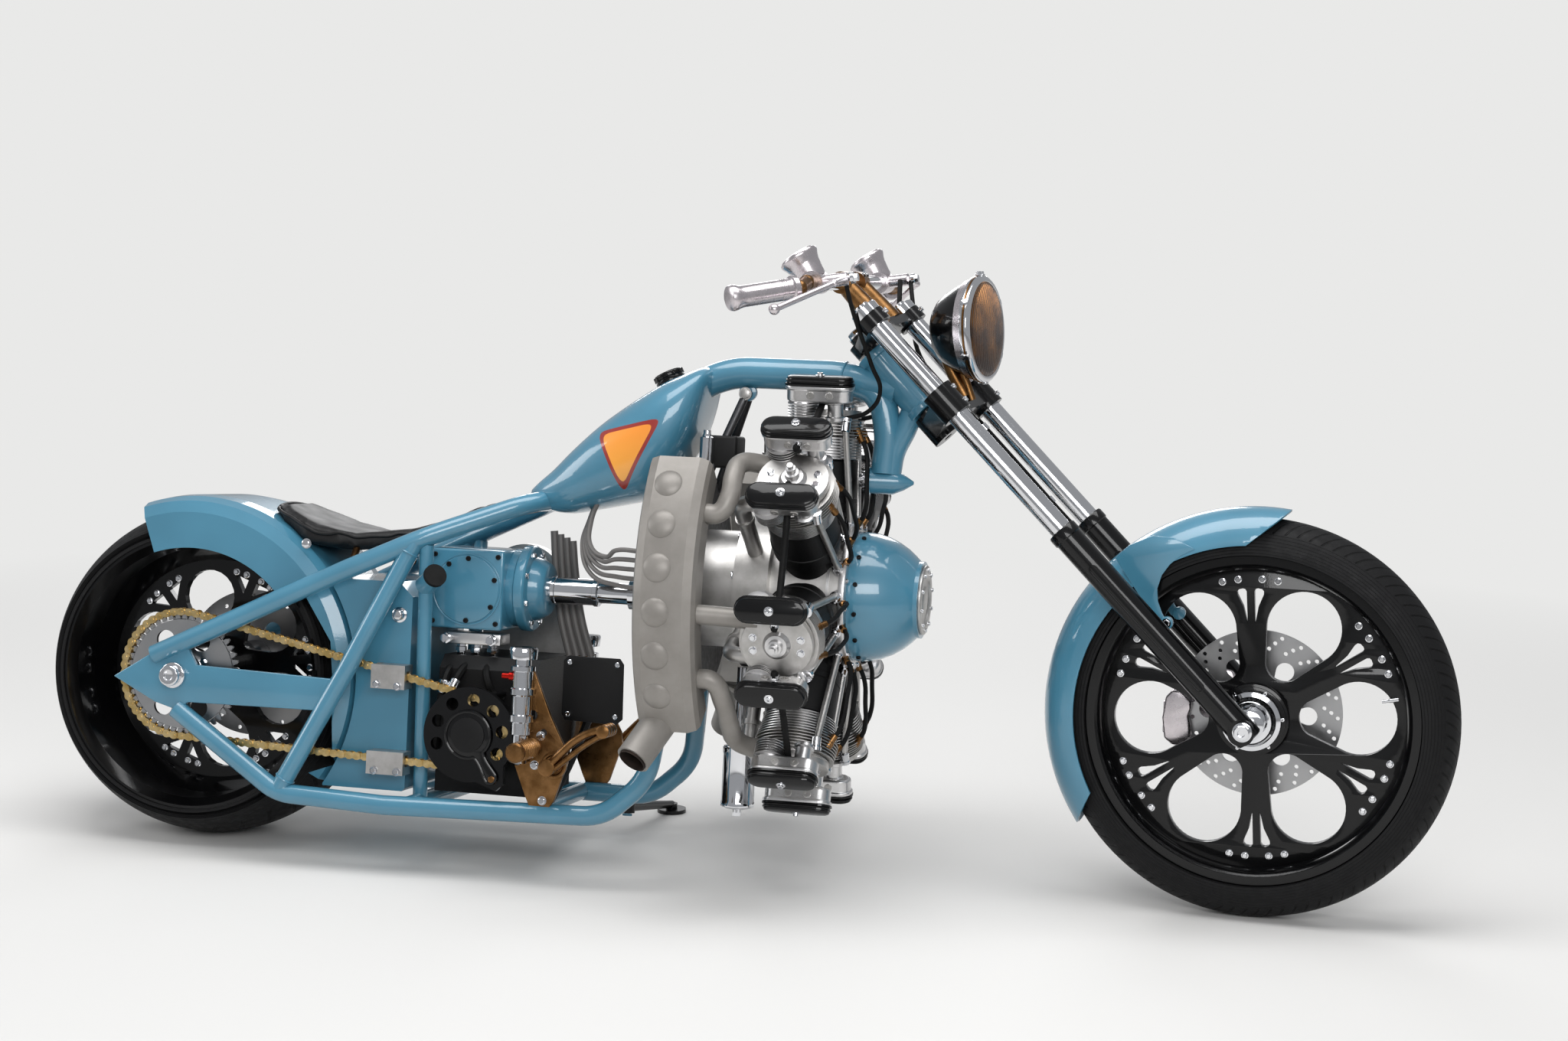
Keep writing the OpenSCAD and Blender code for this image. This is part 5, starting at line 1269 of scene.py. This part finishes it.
# Rear axle nuts, sprocket teeth and sprocket bolts
axle_stack = turned([(-2, 20), (0, 25), (7, 25), (8.5, 23), (9, 17), (14, 17), (15, 20), (24, 20), (26, 18),
                     (26, 9), (23, 8)], 48)
axle_ends = [shift(0, side * 212, REAR_AXLE_Z) @ OUTWARD[side] for side in (-1, 1)]
fit(spread(soften(axle_stack, 0.5), axle_ends), "rear_axle_nuts", BIKE, "chassis", chrome)
SPROCKET = REAR @ shift(0, -CHAIN_Y, 0) @ SIDE
tooth = outline_plate([(-5.5, -4), (-4.2, 3), (-1.6, 8), (1.6, 8), (4.2, 3), (5.5, -4)], -3, 3)
teeth = round(2 * math.pi * REAR_CHAIN_R / link_pitch)
fit(spread(tooth, [turn(360 * i / teeth, "Z") @ shift(0, REAR_CHAIN_R - 10, 0) for i in range(teeth)]),
    "sprocket_teeth", SPROCKET, "rear_wheel", disc_steel)
sprocket_bolts = spread(hex_bolt(6.5, 6), ring_of(6, 50, 30, 4))
fit(sprocket_bolts, "sprocket_bolts", SPROCKET, "rear_wheel", chrome)

# Belt cover: its raised rim, screws and two bosses
cover_rim = belt_outline(GEAR, 104, BELT_TOP, 82, 40)
cover_in = belt_outline(GEAR, 94, BELT_TOP, 72, 40)
belt_face = soften(outline_plate([(-x, y) for x, y in cover_rim], 177.5, 183,
                                 holes=[[(-x, y) for x, y in cover_in]]), 1.4)
fit(belt_face, "belt_cover_rim", BIKE @ turn(180, "Z") @ SIDE, "chassis", milled_aluminium)
cover_bolts = [on_circle(*GEAR, 99, a) for a in (-150, -110, -70, -30, 5, 175)]
cover_bolts += [on_circle(*BELT_TOP, 77, a) for a in (15, 60, 105, 150)]
cover_bolts = [shift(x, 182.5, z) @ LEFT_SIDE for x, z in cover_bolts]
fit(spread(socket_screw(5, 4), cover_bolts), "belt_cover_screws", BIKE, "chassis", chrome)
for name, (x, z), reach in (("belt_cover_lower_boss", GEAR, 52), ("belt_cover_upper_boss", BELT_TOP, 40)):
    boss = soften(turned([(177, reach + 3), (181, reach), (186, reach - 4), (187, reach - 16),
                          (184, reach - 18), (184, 12), (189, 11), (189, 4)], 64), 0.8)
    fit(boss, name, BIKE @ shift(x, 0, z) @ LEFT_SIDE, "chassis", cast_aluminium)

# ---------------------------------------------------------------- front fender, calipers and pipes

# Front fender: a shell over the tyre, cut slanting at both ends, with a tongue to the fork each side
nothing_selected()
bpy.ops.mesh.primitive_torus_add(major_radius=314, minor_radius=76, major_segments=144, minor_segments=48)
fender = bpy.context.object


def wheel_angle(point):
    """Degrees round the axle."""
    return math.degrees(math.atan2(point.y, point.x)) % 360


def off_fender(centre, normal):
    """Faces of the ring that aren't the fender's: its inner side, and past both ends."""
    return math.hypot(centre.x, centre.y) < 322 or not 62 < wheel_angle(centre) < 226


pick(fender, off_fender)
bpy.ops.mesh.delete(type="FACE")
pick(fender, lambda centre, normal: wheel_angle(centre) < 116)
bpy.ops.mesh.bisect(plane_co=(48, 384, 0), plane_no=(0.66, -0.75, 0), clear_outer=True)
pick(fender, lambda centre, normal: wheel_angle(centre) > 190)
bpy.ops.mesh.bisect(plane_co=(-319, -224, 0), plane_no=(0.9, -0.43, 0), clear_outer=True)
soften(thicken(fender, 4), 1.0, 2, 60)
TONGUE = [(-257, 287), (-232, 312), (-190, 332), (-150, 330), (-112, 312), (-136, 299), (-156, 281),
          (-170, 260), (-177, 236), (-175, 212), (-166, 190), (-150, 168), (-157, 162), (-172, 170),
          (-196, 202)]
tongues = [soften(outline_plate(TONGUE, low, low + 4.5), 1.2) for low in (71.5, -76)]
STAY = shift(-157, 174, 0)
bosses = [moved(soften(turned([(low, 12), (low + 14, 12)], 32), 1), STAY) for low in (70, -84)]
shell = joined([fender] + tongues + bosses)
fit(shell, "front_fender_shell", FRONT_SIDE, "front_end", teal_enamel, smooth=40)
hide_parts("front_fender")
stays = [STAY @ shift(0, 0, 83), STAY @ shift(0, 0, -83) @ turn(180, "X")]
fit(spread(hex_bolt(7, 6), stays), "fender_stay_bolts", FRONT_SIDE, "front_end", chrome)

# Front caliper: two halves over the disc, a bridge, and the arm to the fork
KIDNEY = [(-170, -58), (-175, -20), (-170, 20), (-158, 34), (-136, 32), (-122, 16), (-121, 2), (-126, -12),
          (-122, -30), (-119, -52), (-130, -68), (-154, -70)]
halves = [soften(outline_plate(KIDNEY, low, high), edge, 4, 25)
          for low, high, edge in ((-96, -68, 7), (-52, -34, 5))]
bridge = moved(block((13, 48, 60), (-167, 60, -18), 3), LEFT_SIDE)
arm_plate = soften(outline_plate([(-140, -34), (-62, -30), (-42, 52), (-54, 70), (-70, 74), (-132, 44)],
                                 -98, -82), 3)
arm_pin = moved(turned([(-131, 15), (-92, 15)], 32), shift(-62, 52, 0))
caliper = joined(halves + [bridge, arm_plate, arm_pin])
fit(caliper, "front_caliper", FRONT_SIDE, "front_end", polished_aluminium)
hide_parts("front_brake_caliper")
caliper_bolts = [shift(x, y, -97) @ turn(180, "X")
                 for x, y in ((-148, 16), (-146, -52), (-90, -8), (-64, 52))]
fit(spread(socket_screw(6, 5), caliper_bolts), "front_caliper_screws", FRONT_SIDE, "front_end", black_satin)

# Rear caliper
REAR_KIDNEY = [(100, -38), (96, 0), (102, 30), (122, 37), (148, 32), (160, 8), (160, -24), (146, -44),
               (118, -46)]
halves = [soften(outline_plate(REAR_KIDNEY, low, high), edge, 4, 25)
          for low, high, edge in ((-157, -142, 5), (-192, -169, 6))]
bridge = moved(block((10, 44, 44), (157, 167, -8), 3), LEFT_SIDE)
foot = moved(block((52, 16, 40), (128, 193, -18), 2), LEFT_SIDE)
caliper = joined(halves + [bridge, foot])
fit(caliper, "rear_caliper", REAR_SIDE, "chassis", black_gloss)
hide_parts("rear_brake_caliper")

# Sooty inner walls of the two exhaust outlets
mouths = [aim((966, side * 352, 250), (1012, side * 268, 345)) for side in (-1, 1)]
lining = turned([(-4, 26.4), (50, 26.4), (51, 4)], 48)
pick(lining, lambda centre, normal: centre.z < -3.5)
bpy.ops.mesh.delete(type="FACE")
fit(spread(thicken(lining, 1.4), mouths), "outlet_linings", BIKE, "chassis", soot)

# Exhaust pipes from the heads into the collectors
STUBS = (
    [(1068, 322, 700), (1096, 321, 702), (1112, 314, 730), (1113, 292, 768), (1118, 262, 792),
     (1146, 238, 794), (1182, 226, 783)],
    [(1070, 350, 519), (1182, 338, 515)],
    [(1068, 322, 402), (1098, 320, 398), (1114, 298, 362), (1120, 258, 314), (1124, 218, 284),
     (1146, 192, 270), (1182, 182, 268)],
)
stubs = joined([pipe(mirrored(path, side), 18, 28) for side in (-1, 1) for path in STUBS])
fit(stubs, "exhaust_pipes", BIKE, "chassis", exhaust_coat, smooth=60)
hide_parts("exhaust_stubs")

# Intake runners between the cylinders, each with a joint ring
intake = pipe(bent([(-98, 0, 140), (-98, 0, 318), (-48, 0, 318)], 42, 9), 15, 24, smooth=False)
ring = moved(turned([(-5, 15), (-5, 18), (5, 18), (5, 15)], 32), shift(-98, 0, 262))
intake = joined([intake, ring])
runs = [where @ turn(6 if i < 4 else -6, "X") for i, where in enumerate(ALL_CYLINDERS)]
runners = spread(intake, runs)
fit(runners, "intake_runners", BIKE, "chassis", cast_aluminium, smooth=60)
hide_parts("intake_pipes")

# ---------------------------------------------------------------- front wheel and disc

# Front wheel: a plate with egg-shaped openings between slotted spokes, in its hoop
EGG = round_outline(190, 0, 68, 28, -112, 224) + round_outline(118, 0, 36, 14, 124, 112)
SLOT = [(176, 6.5), (234, 7), (238.5, 9.5), (239.5, 14), (238, 21), (234, 24.5), (228, 24), (206, 14),
        (180, 8.5)]


def spoke_plate(outer, egg, slot, bore, half, phase):
    """A disc with an opening between each two of its six spokes, and a slot on both sides of each."""
    cuts = [swung(egg, phase + 30 + 60 * i) for i in range(6)]
    cuts += [swung([(x, side * y) for x, y in slot], phase + 60 * i) for i in range(6) for side in (-1, 1)]
    return outline_plate(round_outline(0, 0, outer, 144), -half, half, 0,
                         cuts + [round_outline(0, 0, bore, 48)])


plate = soften(spoke_plate(280, EGG, SLOT, 30, 9, 34), 2.2, 2, 40)
hoop = turned([(-50, 288), (-50, 303), (-47, 305.5), (-44, 305), (-44, 296), (44, 296), (44, 305),
               (47, 305.5), (50, 303), (50, 288), (46, 284), (38, 278), (-38, 278), (-46, 284), (-50, 288)],
              160)
pick(hoop, lambda centre, normal: math.hypot(centre.x, centre.y) < 100)
bpy.ops.mesh.delete(type="FACE")
face_outwards(merge=0.01)
hub_body = soften(turned([(-40, 13.6), (-40, 38), (-36, 60), (-26, 64), (-9, 66), (9, 66), (22, 64),
                          (26, 62), (26, 13.6), (-40, 13.6)], 72), 1)
barrel = turned([(-60, 13.6), (-56, 38), (-38, 38), (-38, 13.6)], 56)
wheel = joined([plate, hoop, hub_body, barrel])
fit(wheel, "front_spoke_wheel", FRONT_SIDE, "front_wheel", black_gloss, smooth=40)
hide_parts("front_rim")

# Front disc, drilled in three rows, on its star-shaped carrier
WINDOW = belt_outline((92, 0), 17, (70, 0), 9, 14)
rows = [(r, 15 * i + lag) for i in range(24) for r, lag in ((146, 0), (134, 4), (122, 8))]
holes = [swung(round_outline(r, 0, 4, 12), a) for r, a in rows] + [swung(WINDOW, 60 * i) for i in range(6)]
disc = soften(outline_plate(round_outline(0, 0, 155, 144), -63, -57, 0,
                            holes + [round_outline(0, 0, 40, 48)]), 0.5, 1, 40)
fit(disc, "front_drilled_disc", FRONT_SIDE, "front_wheel", disc_steel)
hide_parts("front_brake_disc")
STAR_ARM = [(40, -17), (58, -15), (92, -9), (98, 0), (92, 9), (58, 15), (40, 17)]
STAR = [point for i in range(6) for point in swung(STAR_ARM, 60 * i + 30)]
carrier = soften(outline_plate(STAR, -67, -62.6, 0, [round_outline(0, 0, 26, 40)]), 1.2, 2, 40)
fit(carrier, "front_disc_carrier", FRONT_SIDE, "front_wheel", black_gloss)
buttons = [LEFT_SIDE @ where for where in ring_of(6, 86, 30, 66.5)]
fit(spread(turned([(-1, 8.5), (2, 8.5), (3.2, 7), (3.2, 3)], 24), buttons), "front_disc_buttons", FRONT,
    "front_wheel", chrome)

# ---------------------------------------------------------------- towers and hoses of the rocker boxes

# Cooling fins at the rear foot of each rocker box, and the black oil hoses that link neighbouring boxes
rings = [(338, 21)] + fin_rings(6, 342, 5.2, 22, 30) + [(374, 21)]
tower = moved(turned(rings, 40), shift(-31, 0, 0))
foot = moved(turned([(338, 19), (344, 19), (346, 15), (368, 15), (370, 18), (374, 18)], 32), shift(30, 0, 0))
fit(spread(joined([tower, foot]), ALL_BOXES), "rocker_box_towers", BIKE, "chassis", milled_aluminium,
    smooth=30)
hoses, clamps = [], []
for i in (0, 1, 2, 4, 5, 6):
    upper, lower = ALL_BOXES[2 * i + 1], ALL_BOXES[(2 * i + 2) % 14]
    ends = [upper @ Vector((4, 21, 390)), upper @ Vector((4, 34, 388)), lower @ Vector((4, -34, 388)),
            lower @ Vector((4, -21, 390))]
    hoses.append(pipe([tuple(end) for end in ends], 6.5, 18))
    clamps += [aim(upper @ Vector((4, 27, 389)), upper @ Vector((4, 38, 387.5))),
               aim(lower @ Vector((4, -27, 389)), lower @ Vector((4, -38, 387.5)))]
fit(joined(hoses), "rocker_oil_hoses", BIKE, "chassis", rubber, smooth=60)
clamp = turned([(-3.5, 6.6), (-3.5, 8.4), (-1, 7.9), (1, 7.9), (3.5, 8.4), (3.5, 6.6)], 24)
fit(spread(clamp, clamps), "rocker_hose_clamps", BIKE, "chassis", chrome)

# ---------------------------------------------------------------- camera and light

lens = bpy.data.cameras.new("camera")
lens.sensor_width = 36
lens.lens = 60.52
lens.clip_end = 60
camera = bpy.data.objects.new("camera", lens)
bpy.context.scene.collection.objects.link(camera)
yaw, pitch, roll = math.radians(12.67), math.radians(8.26), math.radians(1.24)
ahead = Vector((-math.sin(yaw) * math.cos(pitch), math.cos(yaw) * math.cos(pitch), -math.sin(pitch)))
across = Vector((math.cos(yaw), math.sin(yaw), 0))
upward = across.cross(ahead)
right = math.cos(roll) * across + math.sin(roll) * upward
top = -math.sin(roll) * across + math.cos(roll) * upward
axes = Matrix((right, top, -ahead)).transposed().to_4x4()
camera.matrix_world = Matrix.Translation((1.1948, -4.8984, 1.4061)) @ axes
bpy.context.scene.camera = camera

# A pale matt floor that fades into the backdrop, and keeps the bike's shadow
BACKDROP = "#E9E9E8"
floor_material, tree, shader = finish_shader("studio_floor", "#DAD9D7", 0.0, 0.85)
coords = add(tree, "TexCoord").outputs["Object"]
away = add(tree, "VectorMath", {0: coords}, operation="LENGTH").outputs["Value"]
far = add(tree, "MapRange", {"Value": away, "From Min": 1.6, "From Max": 4.2}).outputs["Result"]
seen = add(tree, "LightPath").outputs["Is Camera Ray"]
fade = add(tree, "Math", {0: far, 1: seen}, operation="MULTIPLY").outputs[0]
glow = add(tree, "Emission", {"Color": colour(BACKDROP), "Strength": 1.0}).outputs[0]
choice = add(tree, "MixShader", {0: fade, 1: shader.outputs[0], 2: glow}).outputs[0]
tree.links.new(choice, tree.nodes["Material Output"].inputs["Surface"])
nothing_selected()
bpy.ops.mesh.primitive_plane_add(size=40, location=(0, 0, 0))
floor = bpy.context.object
floor.name = "floor"
floor.data.materials.append(floor_material)

world = bpy.data.worlds.new("studio")
bpy.context.scene.world = world
world.use_nodes = True
tree = world.node_tree
surround = tree.nodes["Background"]
surround.inputs["Color"].default_value = colour("#D6D8DB")
surround.inputs["Strength"].default_value = 0.55
backdrop = add(tree, "Background", {"Color": colour(BACKDROP), "Strength": 1.0}).outputs[0]
seen = add(tree, "LightPath").outputs["Is Camera Ray"]
choice = add(tree, "MixShader", {0: seen, 1: surround.outputs[0], 2: backdrop}).outputs[0]
tree.links.new(choice, tree.nodes["World Output"].inputs["Surface"])


def soft_box(name, location, target, width, depth, power):
    """A rectangular lamp that faces a target."""
    lamp = bpy.data.lights.new(name, "AREA")
    lamp.shape = "RECTANGLE"
    lamp.size = width
    lamp.size_y = depth
    lamp.energy = power
    obj = bpy.data.objects.new(name, lamp)
    bpy.context.scene.collection.objects.link(obj)
    obj.location = location
    obj.rotation_mode = "QUATERNION"
    obj.rotation_quaternion = (Vector(target) - Vector(location)).to_track_quat("-Z", "Y")


soft_box("overhead", (0.2, -0.6, 4.2), (0, 0, 0.4), 4.5, 2.2, 150)
soft_box("right_side", (1.6, -4.6, 2.6), (0.1, 0, 0.5), 3.2, 1.6, 110)
soft_box("left_side", (-1.0, 4.6, 2.4), (0, 0, 0.5), 3.0, 1.6, 70)
soft_box("rear", (-4.4, -1.0, 1.8), (0, 0, 0.5), 1.6, 1.6, 40)

bpy.context.scene.view_settings.view_transform = "Standard"
